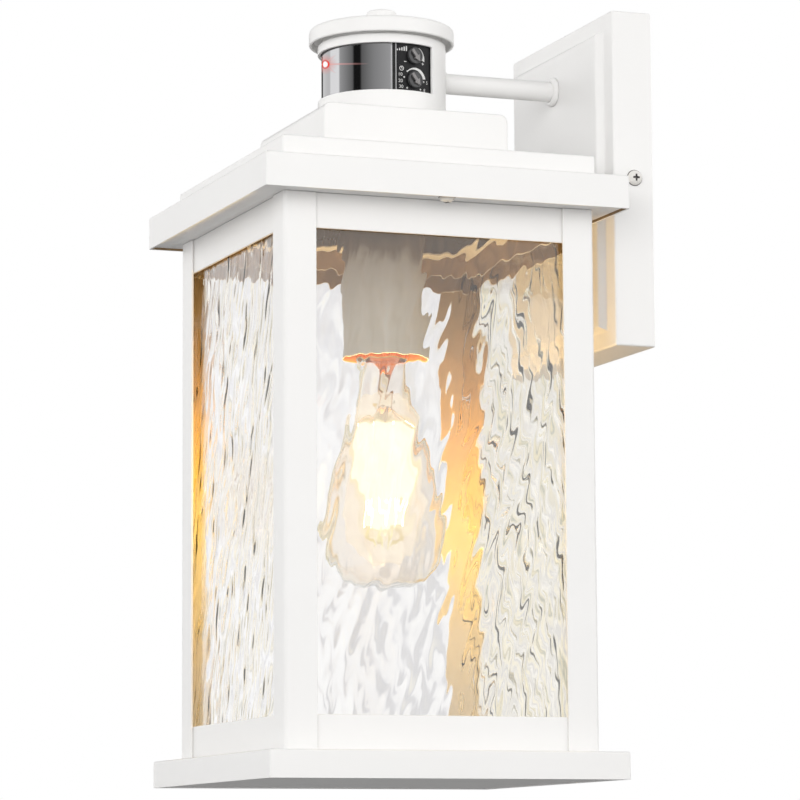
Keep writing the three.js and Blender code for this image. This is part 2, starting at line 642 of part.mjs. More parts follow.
/** A potentiometer, its shaft bore in line with a knob; the lower one stands on a post on the board. */
function potentiometer(z, floorZ) {
  const front = GLAZING_R - CONTROL_PANEL_T - 2 * SLIP;
  const box = block(-POT_HALF, POT_HALF, -POT_HALF, POT_HALF, -POT_T, 0);
  const post = block(-POT_HALF / 2, POT_HALF / 2, floorZ - z, 0, -POT_T + SHEET, -SHEET);
  const bore = drill(KNOB_SHAFT_R + SLIP, -POT_T - SHEET, SHEET);
  return cut(join(box, post), bore).applyMatrix4(facing(KNOB_AZIMUTH, front, z));
}

function sensorBoard() {
  const disc = bar(DRUM_INNER_R - SLIP, BOARD_Z0, BOARD_Z1, MEDIUM);
  return cut(disc, drill(BOARD_HOLE_R, BOARD_Z0 - SHEET, BOARD_Z1 + SHEET, MEDIUM));
}

/** Pyroelectric sensor: a can that looks out through the lens, on a post on the board. */
function pirSensor() {
  const back = -(GLAZING_R - LENS_T - 2 * SLIP - PIR_T);
  const z = WINDOW_Z0 + PIR_ABOVE_SILL;
  const can = bar(PIR_R, 0, PIR_T, MEDIUM).rotateX(Math.PI / 2).translate(0, back, z);
  const post = block(-PIR_R / 2, PIR_R / 2, back - SHEET, back + SHEET, BOARD_Z1 + SEAT, z);
  return join(can, post);
}

/** Red indicator behind the lens, on legs behind the pyroelectric sensor. */
function indicatorLed() {
  const back = -(GLAZING_R - LENS_T - 2 * SLIP - LED_LENGTH);
  const z = WINDOW_Z1 - LED_BELOW_LINTEL;
  const lamp = turned([[0, -3 * SHEET], [LED_R, -3 * SHEET], [LED_R, LED_LENGTH - LED_R],
    ...arcPoints(0, LED_LENGTH - LED_R, LED_R, 30, 60, 1), [0, LED_LENGTH]], SMALL);
  const legs = block(-SHEET / 2, SHEET / 2, back + 2 * SHEET, back + 3 * SHEET, BOARD_Z1 + SEAT, z);
  return join(lamp.rotateX(Math.PI / 2).translate(0, back, z), legs);
}

/** The relay, beside the board's hole. */
function relayBox() {
  const z0 = BOARD_Z1 + SEAT;
  return block(-BOARD_HOLE_R - RELAY_T, -BOARD_HOLE_R, -RELAY_W / 2, RELAY_W / 2, z0, z0 + RELAY_H);
}

function sensorCap() {
  const hole = ROD_R + SLIP;
  const rimTop = CAP_Z0 + CAP_RIM_H;
  const spigot = GLAZING_R;
  const foot = CAP_R - 0.6 * CAP_RIM_ROUND;
  const dome = [0.9, 0.65, 0.35].map((share) => {
    const r = (CAP_R - CAP_RIM_ROUND) * share;
    return [r, rimTop + CAP_DOME_H * (1 - share * share)];
  });
  return turnedRing([
    [hole, CAP_Z1 - 2 * SHEET],
    [spigot / 2, CAP_Z1 - 2 * SHEET - CAP_DOME_H * 0.2],
    [spigot - SHEET, CAP_Z0 + SHEET],
    [spigot - SHEET, CAP_Z0 - CAP_SPIGOT_H],
    [spigot, CAP_Z0 - CAP_SPIGOT_H],
    [spigot, CAP_Z0],
    [foot, CAP_Z0],
    [CAP_R, CAP_Z0 + 0.8 * CAP_RIM_ROUND],
    ...arcPoints(CAP_R - CAP_RIM_ROUND, rimTop - CAP_RIM_ROUND, CAP_RIM_ROUND, 0, 80, 3),
    ...dome,
    [hole, CAP_Z1],
  ]);
}

function capFinial() {
  const z0 = CAP_Z1 + SEAT;
  const z1 = z0 + FINIAL_H;
  const bore = ROD_R + SEAT;
  const round = FINIAL_H * 0.25;
  return turned([
    [0, z0 + FINIAL_BORE_DEPTH],
    [bore, z0 + FINIAL_BORE_DEPTH],
    [bore, z0],
    [FINIAL_R - 0.4, z0],
    [FINIAL_R, z0 + 0.5],
    ...arcPoints(FINIAL_R - round, z1 - round, round, 0, 90, 3),
    [0, z1],
  ], MEDIUM);
}

function centreRod() {
  return bar(ROD_R, STRAP_Z1 - STRAP_T - 2 * ROD_NUT_T, CAP_Z1 + FINIAL_BORE_DEPTH - SEAT);
}

function rodNut(z0) {
  return hexNut(ROD_NUT_R, ROD_R + SEAT, z0, z0 + ROD_NUT_T);
}

function sensorHead() {
  return [
    piece('sensor_housing', sensorHousing(), 'white'),
    piece('sensor_lens', sensorLens(), 'lens'),
    piece('control_panel', controlPanel(), 'panel'),
    knobPiece('sens_knob', SENS_Z),
    knobPiece('time_knob', TIME_Z),
    piece('sens_pot', potentiometer(SENS_Z, TIME_Z + POT_HALF + SEAT), 'relay'),
    piece('time_pot', potentiometer(TIME_Z, BOARD_Z1 + SEAT), 'relay'),
    piece('sensor_board', sensorBoard(), 'board'),
    piece('pir_sensor', pirSensor(), 'zinc'),
    piece('indicator_led', indicatorLed(), 'led'),
    piece('relay', relayBox(), 'relay'),
    piece('sensor_cap', sensorCap(), 'white'),
    piece('cap_finial', capFinial(), 'white'),
    piece('centre_rod', centreRod(), 'zinc'),
    piece('rod_nut_upper', rodNut(HEAD_Z0 + HEAD_FLOOR + SEAT), 'zinc'),
    piece('rod_nut_lower', rodNut(STRAP_Z1 - STRAP_T - SEAT - ROD_NUT_T), 'zinc'),
  ];
}

// ---- Roof -----------------------------------------------------------------------------------------

/** The upper tier: top, front and back are one bent sheet between two flat ends. */
function roofUpper() {
  const z0 = UPPER_Z0 + SEAT;
  const bent = (half, top, radius) => shapeOf([
    [-half, z0 - SHEET],
    [half, z0 - SHEET],
    ...arcPoints(half - radius, top - radius, radius, 0, 90, 5),
    ...arcPoints(radius - half, top - radius, radius, 90, 180, 5),
  ]);
  const across = (shape, half) => prism(shape, -half, half).rotateX(Math.PI / 2).rotateZ(Math.PI / 2);
  const inside = UPPER_HALF - SHEET;
  const outer = across(bent(UPPER_HALF, HEAD_Z0, UPPER_BEND_R), UPPER_HALF);
  const hollow = across(bent(inside, HEAD_Z0 - SHEET, UPPER_BEND_R - SHEET), inside);
  const below = squareBlock(2 * UPPER_HALF, z0 - 3 * SHEET, z0);
  return cut(outer, hollow, below, ...stackHoles(HEAD_Z0 - SHEET, HEAD_Z0));
}

function roofMiddle() {
  return cut(tray(MIDDLE_HALF, MIDDLE_Z0 + SEAT, UPPER_Z0), ...stackHoles(UPPER_Z0 - SHEET, UPPER_Z0));
}

function roofMain() {
  return cut(tray(ROOF_HALF, ROOF_Z0, MIDDLE_Z0), ...stackHoles(MIDDLE_Z0 - SHEET, MIDDLE_Z0));
}

/** An angle tab inside the roof's skirt that takes a soffit screw. */
function screwBoss() {
  const x1 = SKIRT_HALF - SEAT;
  const z0 = SOFFIT_Z0 + SHEET + SLIP;
  const foot = block(x1 - BOSS_REACH, x1, -BOSS_HALF_W, BOSS_HALF_W, z0, z0 + BOSS_T);
  const upright = block(x1 - BOSS_T, x1, -BOSS_HALF_W, BOSS_HALF_W, z0, z0 + BOSS_H);
  const hole = drill(SOFFIT_SCREW_R + SLIP, z0 - SHEET, z0 + BOSS_H).translate(SOFFIT_SCREW_X, 0, 0);
  return cut(join(foot, upright), hole);
}

function roof() {
  return [
    piece('roof_upper', roofUpper(), 'white'),
    piece('roof_middle', roofMiddle(), 'white'),
    piece('roof_main', roofMain(), 'white'),
    piece('screw_boss_right', screwBoss(), 'white'),
    piece('screw_boss_left', screwBoss().rotateZ(Math.PI), 'white'),
  ];
}

// ---- Lampholder -----------------------------------------------------------------------------------

function socketSleeve() {
  const inner = SLEEVE_R - SHEET;
  const cup = turned([[0, SLEEVE_Z1 - SHEET], [inner, SLEEVE_Z1 - SHEET], [inner, SLEEVE_Z0],
    [SLEEVE_R, SLEEVE_Z0], [SLEEVE_R, SLEEVE_Z1], [0, SLEEVE_Z1]], 36);
  return cut(cup, ...stackHoles(SLEEVE_Z1 - SHEET, SLEEVE_Z1));
}

/** An inverted U strap: its feet hold the lampholder by its shoulder. */
function lampholderStrap() {
  const outer = HOLDER_NECK_R + SLIP + STRAP_T;
  const foot = HOLDER_SHOULDER_Z + SEAT;
  const loop = block(-outer, outer, -STRAP_HALF_W, STRAP_HALF_W, foot, STRAP_Z1);
  const inside = outer - STRAP_T;
  const wide = 2 * STRAP_HALF_W;
  const hollow = block(-inside, inside, -wide, wide, foot - SHEET, STRAP_Z1 - STRAP_T);
  return cut(loop, hollow, ...stackHoles(STRAP_Z1 - STRAP_T, STRAP_Z1));
}

/** The porcelain body, with the centre contact's boss in the roof of its bore. */
function lampholderBody() {
  const bore = SHELL_R + SHELL_T + SEAT;
  const boreTop = SHELL_Z1 + SEAT;
  return turned([[0, HOLDER_CONTACT_Z], [CONTACT_R, HOLDER_CONTACT_Z], [CONTACT_R, boreTop],
    [bore, boreTop], [bore, HOLDER_Z0], [HOLDER_R, HOLDER_Z0],
    [HOLDER_R, HOLDER_SHOULDER_Z], [HOLDER_NECK_R, HOLDER_SHOULDER_Z], [HOLDER_NECK_R, HOLDER_Z1],
    [0, HOLDER_Z1]], MEDIUM);
}

function screwShell() {
  const hole = CONTACT_R + SLIP;
  return turnedRing([[hole, SHELL_Z1 - SHELL_T], [SHELL_R, SHELL_Z1 - SHELL_T], [SHELL_R, SHELL_Z0],
    [SHELL_R + SHELL_T, SHELL_Z0], [SHELL_R + SHELL_T, SHELL_Z1], [hole, SHELL_Z1]], MEDIUM);
}

/** The two leads from the relay's board down to the lampholder's neck. */
function lampLead(side) {
  const x = side * LAMP_LEAD_X;
  const down = [BOARD_Z1, HEAD_Z0, UPPER_Z0, MIDDLE_Z0, STRAP_Z1 - 2 * STRAP_T];
  const points = down.map((z) => [x, -LEAD_HOLE_Y, z]);
  return wire([...points, [x, -LEAD_HOLE_Y, HOLDER_Z1 + SLIP]], LAMP_LEAD_R, 6);
}

function lampholder() {
  return [
    piece('socket_sleeve', socketSleeve(), 'sleeve'),
    piece('lampholder_strap', lampholderStrap(), 'zinc'),
    piece('lampholder', lampholderBody(), 'porcelain'),
    piece('screw_shell', screwShell(), 'brass'),
    piece('lamp_live_lead', lampLead(1), 'blackWire'),
    piece('lamp_neutral_lead', lampLead(-1), 'whiteWire'),
  ];
}

// ---- Bulb -----------------------------------------------------------------------------------------

/** The bulb's outline below its neck, as shares of its largest radius and of its glass length. */
const BULB_OUTLINE = [[0.42, 0.93], [0.5, 0.82], [0.63, 0.66], [0.79, 0.5], [0.93, 0.36], [1, 0.25],
  [0.97, 0.15], [0.84, 0.07], [0.55, 0.018]];

function bulbEnvelope() {
  const neckTop = BULB_CAP_Z0 + BULB_NECK_TUCK;
  const glassLength = BULB_CAP_Z0 - BULB_Z0;
  const outer = BULB_OUTLINE.map(([r, h]) => [r * BULB_R, BULB_Z0 + h * glassLength]).reverse();
  const inner = outer.map(([r, z]) => [r - BULB_GLASS_T, z + BULB_GLASS_T * (1 - r / BULB_R)]).reverse();
  return turned([
    [0, BULB_Z0],
    ...outer,
    [BULB_NECK_R, BULB_CAP_Z0 - SLIP],
    [BULB_NECK_R, neckTop],
    [BULB_NECK_R - BULB_GLASS_T, neckTop],
    [BULB_NECK_R - BULB_GLASS_T, BULB_CAP_Z0 - SLIP],
    ...inner,
    [0, BULB_Z0 + BULB_GLASS_T],
  ], MEDIUM);
}

/** The cap: a threaded shell with an insulator on top that carries the contact. */
function bulbCap() {
  const root = BULB_CAP_R - BULB_THREAD_DEPTH;
  const inner = BULB_NECK_R + SEAT;
  const shoulder = BULB_Z1 - CONTACT_H - THREAD_PITCH;
  const crests = [];
  for (let z = BULB_CAP_Z0 + THREAD_PITCH; z + THREAD_PITCH / 2 < shoulder; z += THREAD_PITCH) {
    crests.push([root, z - THREAD_PITCH / 2], [BULB_CAP_R, z]);
  }
  const crown = BULB_Z1 - CONTACT_H - SEAT;
  return turned([
    [0, BULB_CAP_Z0 + BULB_NECK_TUCK + SLIP],
    [inner, BULB_CAP_Z0 + BULB_NECK_TUCK + SLIP],
    [inner, BULB_CAP_Z0],
    [root, BULB_CAP_Z0],
    ...crests,
    [root, shoulder],
    [CONTACT_R + SHEET, crown],
    [0, crown],
  ], MEDIUM);
}

function bulbContact() {
  const z0 = BULB_Z1 - CONTACT_H;
  return turned([[0, z0], [CONTACT_R, z0], [CONTACT_R * 0.7, BULB_Z1], [0, BULB_Z1]], SMALL);
}

/** The glass stem that plugs the neck and carries the filament. */
function bulbStem() {
  const plug = BULB_CAP_Z0 + BULB_NECK_TUCK;
  const flare = BULB_NECK_R - BULB_GLASS_T - SLIP;
  const end = BULB_Z1 - FILAMENT_BOTTOM - 2 * STEM_R;
  const waist = BULB_Z1 - FILAMENT_TOP + STEM_R;
  return turned([[0, end], [STEM_R * 0.7, end], [STEM_R, end + STEM_R], [STEM_R, waist],
    [2 * STEM_R, BULB_CAP_Z0 - 3 * STEM_R], [flare, plug - STEM_R], [flare, plug], [0, plug]], SMALL);
}

/** The filament: slanting strands between a ring on the stem and a wider ring below. */
function bulbFilament() {
  const z1 = BULB_Z1 - FILAMENT_TOP;
  const z0 = BULB_Z1 - FILAMENT_BOTTOM;
  const ring = (radius, z) => new THREE.TorusGeometry(radius, FILAMENT_R, 5, 18).translate(0, 0, z);
  const hub = turnedRing([[STEM_R + SEAT, z1 - FILAMENT_R], [FILAMENT_TOP_R, z1 - FILAMENT_R],
    [FILAMENT_TOP_R, z1 + FILAMENT_R], [STEM_R + SEAT, z1 + FILAMENT_R]], SMALL);
  const run = FILAMENT_BOTTOM_R - FILAMENT_TOP_R;
  const length = Math.hypot(run, z1 - z0);
  const strands = [];
  for (let i = 0; i < FILAMENT_STRANDS; i += 1) {
    const strand = new THREE.CylinderGeometry(FILAMENT_R, FILAMENT_R, length, 5).rotateX(Math.PI / 2);
    strand.rotateY(-Math.atan2(run, z1 - z0));
    strand.translate((FILAMENT_TOP_R + FILAMENT_BOTTOM_R) / 2, 0, (z0 + z1) / 2);
    strands.push(strand.rotateZ((i * 2 * Math.PI) / FILAMENT_STRANDS));
  }
  return join(hub, ring(FILAMENT_BOTTOM_R, z0), ...strands);
}

function bulb() {
  return [
    piece('bulb_envelope', bulbEnvelope(), 'glass'),
    piece('bulb_cap', bulbCap(), 'brass'),
    piece('bulb_contact', bulbContact(), 'zinc'),
    piece('bulb_stem', bulbStem(), 'glass'),
    piece('bulb_filament', bulbFilament(), 'filament'),
  ];
}

// ---- Glazed cage ----------------------------------------------------------------------------------

function soffitPlate() {
  const half = SKIRT_HALF - SOFFIT_GAP;
  const z1 = SOFFIT_Z0 + SHEET;
  const open = SOFFIT_OPEN_HALF;
  const plate = squareRing([[open, SOFFIT_Z0], [half, SOFFIT_Z0], [half, z1], [open, z1]]);
  const holes = [-1, 1].map((side) => {
    return drill(SOFFIT_SCREW_R + SLIP, SOFFIT_Z0 - SHEET, z1 + SHEET).translate(side * SOFFIT_SCREW_X, 0, 0);
  });
  return cut(plate, ...holes);
}

/** A folded angle at the corner of the cage. */
function cornerPost() {
  const outer = CAGE_HALF;
  const inner = CAGE_HALF - SHEET;
  const end = CAGE_HALF - POST_W;
  const bend = outer - POST_BEND_R;
  const angle = shapeOf([
    [end, inner],
    [inner, inner],
    [inner, end],
    [outer, end],
    ...arcPoints(bend, bend, POST_BEND_R, 0, 90, 4),
    [end, outer],
  ]);
  return prism(angle, BASE_Z1 + SEAT, CAGE_Z1);
}

/**
 * Rails and the channel behind them that holds the panes' edges, all round the cage. The channel's web is
 * at webZ and opens towards the rail's other edge.
 */
function railFrame(webZ, railEdgeZ) {
  const towards = Math.sign(railEdgeZ - webZ);
  const web = webZ + towards * SHEET;
  const lip = webZ + towards * CHANNEL_LIP_H;
  const section = [[LIP_HALF - SHEET, webZ], [RAIL_HALF, webZ], [RAIL_HALF, railEdgeZ],
    [RAIL_HALF - SHEET, railEdgeZ], [RAIL_HALF - SHEET, web], [LIP_HALF, web], [LIP_HALF, lip],
    [LIP_HALF - SHEET, lip]];
  return squareRing(towards > 0 ? section : section.reverse());
}

/** A pane in the front plane of the cage. */
function pane(halfWidth) {
  const z0 = BASE_Z1 + SEAT + SHEET + SLIP;
  const z1 = CAGE_Z1 - SHEET - SLIP;
  return block(-halfWidth, halfWidth, -GLASS_HALF, GLASS_T - GLASS_HALF, z0, z1);
}

function soffitScrew() {
  const screw = panScrew(SOFFIT_SCREW_HEAD_R, SOFFIT_SCREW_HEAD_H, SOFFIT_SCREW_R, SOFFIT_SCREW_LENGTH);
  return screw.rotateX(Math.PI).translate(0, 0, SOFFIT_Z0 - SEAT);
}

function drainHoles(z0, z1) {
  const at = BASE_HALF - DRAIN_HOLE_INSET;
  const corners = [[-at, -at], [at, -at], [at, at], [-at, at]];
  return corners.map(([x, y]) => drill(DRAIN_HOLE_R, z0 - SHEET, z1 + SHEET).translate(x, y, 0));
}

function baseTray() {
  return cut(tray(BASE_HALF, BASE_Z0, BASE_Z1), ...drainHoles(BASE_Z1 - SHEET, BASE_Z1));
}

function basePlate() {
  const z0 = BASE_Z0 + BASE_PLATE_INSET;
  return cut(squareBlock(BASE_HALF - SHEET - SLIP, z0, z0 + SHEET), ...drainHoles(z0, z0 + SHEET));
}

function cage() {
  const posts = ['back_right', 'back_left', 'front_left', 'front_right'].map((corner, turn) => {
    return piece(`corner_post_${corner}`, cornerPost().rotateZ((turn * Math.PI) / 2), 'white');
  });
  const wide = RAIL_HALF - SHEET - SLIP;
  const narrow = GLASS_HALF - GLASS_T - SLIP;
  return [
    piece('soffit_plate', soffitPlate(), 'white'),
    ...posts,
    piece('top_frame', railFrame(CAGE_Z1, OPENING_Z1), 'white'),
    piece('bottom_frame', railFrame(BASE_Z1 + SEAT, OPENING_Z0), 'white'),
    piece('glass_front', pane(wide), 'glass'),
    piece('glass_back', pane(wide).rotateZ(Math.PI), 'glass'),
    piece('glass_right', pane(narrow).rotateZ(Math.PI / 2), 'glass'),
    piece('glass_left', pane(narrow).rotateZ(-Math.PI / 2), 'glass'),
    piece('base_tray', baseTray(), 'white'),
    piece('base_plate', basePlate(), 'white'),
    place(SOFFIT_SCREW_X, 0, 0, piece('soffit_screw_right', soffitScrew(), 'zinc')),
    place(-SOFFIT_SCREW_X, 0, 0, piece('soffit_screw_left', soffitScrew(), 'zinc')),
  ];
}

// ---- The whole lantern ----------------------------------------------------------------------------

const lantern = new THREE.Group();
const hanging = place(0, -REACH, 0, ...sensorHead(), ...roof(), ...lampholder(), ...bulb(), ...cage());
lantern.add(...wallSide(), hanging);

export default lantern;
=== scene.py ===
"""Outdoor wall lantern with a motion-sensor head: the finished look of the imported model, and its studio."""

import json
import math
import random

import bmesh
import bpy
from mathutils import Matrix, Vector, noise

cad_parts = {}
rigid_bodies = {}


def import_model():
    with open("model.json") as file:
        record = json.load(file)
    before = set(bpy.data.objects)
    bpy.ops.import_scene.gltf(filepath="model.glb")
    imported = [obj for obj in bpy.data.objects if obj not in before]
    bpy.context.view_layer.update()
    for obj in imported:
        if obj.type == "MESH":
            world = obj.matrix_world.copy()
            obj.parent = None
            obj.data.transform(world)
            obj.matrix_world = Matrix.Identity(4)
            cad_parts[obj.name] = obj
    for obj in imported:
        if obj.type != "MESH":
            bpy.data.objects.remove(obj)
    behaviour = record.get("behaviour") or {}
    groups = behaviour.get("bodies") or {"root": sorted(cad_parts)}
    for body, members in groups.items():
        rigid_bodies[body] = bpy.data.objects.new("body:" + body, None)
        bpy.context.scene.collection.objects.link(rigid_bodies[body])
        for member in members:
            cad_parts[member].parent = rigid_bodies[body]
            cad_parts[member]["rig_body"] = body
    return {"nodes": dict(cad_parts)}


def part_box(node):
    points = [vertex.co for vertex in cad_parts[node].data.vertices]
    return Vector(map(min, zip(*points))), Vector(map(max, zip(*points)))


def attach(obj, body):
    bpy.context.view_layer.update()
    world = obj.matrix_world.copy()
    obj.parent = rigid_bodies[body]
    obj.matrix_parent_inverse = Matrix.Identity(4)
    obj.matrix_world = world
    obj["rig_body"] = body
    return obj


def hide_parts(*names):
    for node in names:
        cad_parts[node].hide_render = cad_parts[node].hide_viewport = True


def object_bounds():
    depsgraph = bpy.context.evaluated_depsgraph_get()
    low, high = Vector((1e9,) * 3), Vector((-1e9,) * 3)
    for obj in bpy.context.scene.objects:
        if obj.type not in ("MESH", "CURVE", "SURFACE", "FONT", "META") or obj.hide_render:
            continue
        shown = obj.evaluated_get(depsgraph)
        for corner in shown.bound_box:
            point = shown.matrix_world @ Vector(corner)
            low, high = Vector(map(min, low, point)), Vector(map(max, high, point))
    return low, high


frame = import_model()
CAD_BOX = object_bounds()

bl_info = {
    "name": "Wall Lantern Looks",
    "version": (1, 0, 0),
    "blender": (4, 5, 0),
    "location": "View3D > Sidebar > Lantern",
    "description": "Dresses a wall lantern's solids with detailed pieces, finishes, glass and studio light",
    "category": "Object",
}

MM = 0.001
TINY = 1e-6


def box_mm(node):
    """Lowest and highest corner of a CAD node, in millimetres."""
    lo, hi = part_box(node)
    return lo / MM, hi / MM


def middle(node):
    lo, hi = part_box(node)
    return (lo + hi) / 2


AXIS = Vector((0, middle("centre_rod").y, 0))  # the lantern's own upright axis
SHEET = 1.2  # folded steel sheet, in millimetres
FRONT = -90.0  # direction of the lantern's front, in degrees round Z from +X


# ---- Settings ---------------------------------------------------------------------------------------


class LanternPaintSettings(bpy.types.PropertyGroup):
    """Powder coat on the plate, arm, head, roof and cage."""

    colour: bpy.props.FloatVectorProperty(
        name="Colour", description="Colour of the powder coat", subtype="COLOR",
        size=3, min=0.0, max=1.0, default=(0.880, 0.874, 0.864),
    )
    roughness: bpy.props.FloatProperty(
        name="Roughness", description="Mean roughness of the powder coat", subtype="FACTOR",
        min=0.0, max=1.0, default=0.4,
    )
    peel: bpy.props.FloatProperty(
        name="Orange peel", description="Depth of the coat's fine unevenness", unit="LENGTH",
        min=0.0, default=0.00002, precision=5,
    )
    bend: bpy.props.FloatProperty(
        name="Bend", description="Outer radius of the folded sheet's edges", unit="LENGTH",
        min=0.0005, default=0.001, precision=4,
    )


class LanternGlassSettings(bpy.types.PropertyGroup):
    """Rippled panes of the cage."""

    drop_width: bpy.props.FloatProperty(
        name="Ripple width", description="Width of one ripple", unit="LENGTH",
        min=0.001, default=0.0056, precision=4,
    )
    drop_length: bpy.props.FloatProperty(
        name="Ripple length", description="Upright length of one ripple", unit="LENGTH",
        min=0.001, default=0.019, precision=4,
    )
    depth: bpy.props.FloatProperty(
        name="Ripple depth", description="Height of the ripples on the pane's outer face", unit="LENGTH",
        min=0.0, default=0.00028, precision=5,
    )
    lean: bpy.props.FloatProperty(
        name="Lean", description="Lean of the ripples, to the right towards the top", subtype="ANGLE",
        default=math.radians(17),
    )
    colour: bpy.props.FloatVectorProperty(
        name="Tint", description="Tint of the glass", subtype="COLOR",
        size=3, min=0.0, max=1.0, default=(0.985, 0.982, 0.97),
    )
    # The front pane's greyer tint is painted shade; the back pane's warm tint is painted light of the bulb.
    front_shaded_colour: bpy.props.FloatVectorProperty(
        name="Front tint", description="Tint of the front pane", subtype="COLOR",
        size=3, min=0.0, max=1.0, default=(0.95, 0.951, 0.962),
    )
    back_warm_lit_colour: bpy.props.FloatVectorProperty(
        name="Back tint", description="Tint of the pane that faces the wall", subtype="COLOR",
        size=3, min=0.0, max=1.0, default=(0.995, 0.972, 0.905),
    )


class LanternBulbSettings(bpy.types.PropertyGroup):
    """The lit bulb."""

    glow: bpy.props.FloatVectorProperty(
        name="Light", description="Colour of the bulb's light", subtype="COLOR",
        size=3, min=0.0, max=1.0, default=(1.0, 0.65, 0.25),
    )
    power: bpy.props.FloatProperty(
        name="Power", description="Radiant power of the bulb", subtype="POWER", unit="POWER",
        min=0.0, default=0.66,
    )
    strands: bpy.props.IntProperty(
        name="Strands", description="Upright strands of the filament", min=4, max=24, default=16,
    )
    tint: bpy.props.FloatVectorProperty(
        name="Glass tint", description="Tint of the bulb's glass", subtype="COLOR",
        size=3, min=0.0, max=1.0, default=(0.995, 0.96, 0.92),
    )


class LanternSensorSettings(bpy.types.PropertyGroup):
    """Window and controls of the sensor head."""

    window_from: bpy.props.FloatProperty(
        name="Window from", description="Left end of the window, round the head from the front",
        subtype="ANGLE", default=math.radians(-79.5),
    )
    window_to: bpy.props.FloatProperty(
        name="Window to", description="Right end of the window, round the head from the front",
        subtype="ANGLE", default=math.radians(122),
    )
    panel_from: bpy.props.FloatProperty(
        name="Panel from", description="Where the lens ends and the control panel begins",
        subtype="ANGLE", default=math.radians(80),
    )
    indicator: bpy.props.FloatVectorProperty(
        name="Indicator", description="Colour of the lit indicator", subtype="COLOR",
        size=3, min=0.0, max=1.0, default=(1.0, 0.06, 0.04),
    )


class LanternStageSettings(bpy.types.PropertyGroup):
    """Camera and lamps."""

    lens: bpy.props.FloatProperty(
        name="Lens", description="Focal length, in millimetres", min=10.0, default=164.053,
    )
    key: bpy.props.FloatProperty(
        name="Key lamp", description="Power of the key lamp", unit="POWER", min=0.0, default=10.0,
    )
    fill: bpy.props.FloatProperty(
        name="Fill lamp", description="Power of the fill lamp", unit="POWER", min=0.0, default=3.0,
    )
    ambient: bpy.props.FloatProperty(
        name="Ambient", description="Strength of the light from all round", min=0.0, default=1.5,
    )
    inside: bpy.props.FloatProperty(
        name="Inside", description="Strength of the light that comes in through the panes",
        min=0.0, default=0.92,
    )


# ---- Materials --------------------------------------------------------------------------------------

FINISHES = {}  # the materials made so far


def set_inputs(tree, node, inputs):
    """Links a node's inputs to other sockets, or gives them plain values."""
    for key, value in dict(inputs).items():
        if isinstance(value, bpy.types.NodeSocket):
            tree.links.new(value, node.inputs[key])
        else:
            node.inputs[key].default_value = value


def add_node(tree, kind, inputs=(), **settings):
    """A new shader node with its settings and inputs."""
    node = tree.nodes.new(kind)
    for key, value in settings.items():
        setattr(node, key, value)
    set_inputs(tree, node, inputs)
    return node


def place_on_piece(tree):
    return add_node(tree, "ShaderNodeTexCoord").outputs["Object"]


def place_from(tree, origin):
    """Where a point of the piece lies from an origin in metres, as a vector and as its three parts."""
    place = place_on_piece(tree)
    offset = add_node(tree, "ShaderNodeVectorMath", {0: place, 1: origin}, operation="SUBTRACT").outputs[0]
    return offset, add_node(tree, "ShaderNodeSeparateXYZ", {0: offset}).outputs


def surface_noise(tree, scale, stretch=(1, 1, 1), detail=2.0):
    """Noise that lies still on the piece, features 1 / scale metres across."""
    mapping = add_node(tree, "ShaderNodeMapping", {"Vector": place_on_piece(tree), "Scale": stretch})
    inputs = {"Vector": mapping.outputs[0], "Scale": scale, "Detail": detail}
    return add_node(tree, "ShaderNodeTexNoise", inputs).outputs[0]


def spread(tree, value, low, high, start=0.3, end=0.7):
    """A value from start to end spread over low to high."""
    return add_node(tree, "ShaderNodeMapRange", {0: value, 1: start, 2: end, 3: low, 4: high}).outputs[0]


def ramp(tree, value, stops):
    """Colours along a value, from (position, colour) stops."""
    node = add_node(tree, "ShaderNodeValToRGB", {0: value})
    elements = node.color_ramp.elements
    while len(elements) < len(stops):
        elements.new(0.5)
    for element, (position, colour) in zip(elements, stops):
        element.position = position
        element.color = (*colour, 1.0)
    return node.outputs[0]


def drifting(tree, colours, scale, stretch=(1, 1, 1)):
    """A colour that drifts between two over the surface."""
    return ramp(tree, surface_noise(tree, scale, stretch), [(0.3, colours[0]), (0.7, colours[1])])


def around(colour, share):
    """Two near shades of one colour, a share apart."""
    return [tuple(min(1.0, c * (1 + side * share)) for c in colour) for side in (-1, 1)]


def sums(tree, operation, *values, clamp=False):
    """One maths node on sockets or plain numbers."""
    node = add_node(tree, "ShaderNodeMath", enumerate(values), operation=operation, use_clamp=clamp)
    return node.outputs[0]


def bumped(tree, height, depth):
    """Normals of a surface that is uneven by a depth in metres."""
    return add_node(tree, "ShaderNodeBump", {"Height": height, "Distance": depth}).outputs[0]


def new_finish(name):
    """A new material's node tree and its Principled shader."""
    material = bpy.data.materials.new(name)
    material.use_nodes = True
    FINISHES[name] = material
    return material.node_tree, material.node_tree.nodes["Principled BSDF"]


def varied_finish(name, colours, drift, roughness, grain, depth, stretch=(1, 1, 1), sockets=()):
    """
    A material whose colour drifts, whose roughness varies and whose surface has a fine grain. Drift and grain
    are how many features fit in a metre, and depth is the height of the grain in metres.
    """
    if name not in FINISHES:
        tree, shader = new_finish(name)
        set_inputs(tree, shader, sockets)
        set_inputs(tree, shader, {
            "Base Color": drifting(tree, colours, drift, stretch),
            "Roughness": spread(tree, surface_noise(tree, grain / 3, stretch, detail=3.0), *roughness),
            "Normal": bumped(tree, surface_noise(tree, grain, stretch), depth),
        })
    return FINISHES[name]


def white_paint():
    paint = bpy.context.scene.lantern_paint
    rough = paint.roughness
    return varied_finish(
        "white_powder_coat", around(paint.colour, 0.008), drift=22,
        roughness=(rough - 0.05, rough + 0.06), grain=850, depth=paint.peel,
    )


def zinc_steel():
    return varied_finish(
        "zinc_plate", [(0.52, 0.53, 0.55), (0.66, 0.67, 0.68)], drift=260, roughness=(0.24, 0.42),
        grain=2600, depth=6e-6, stretch=(1, 1, 6), sockets={"Metallic": 1.0},
    )


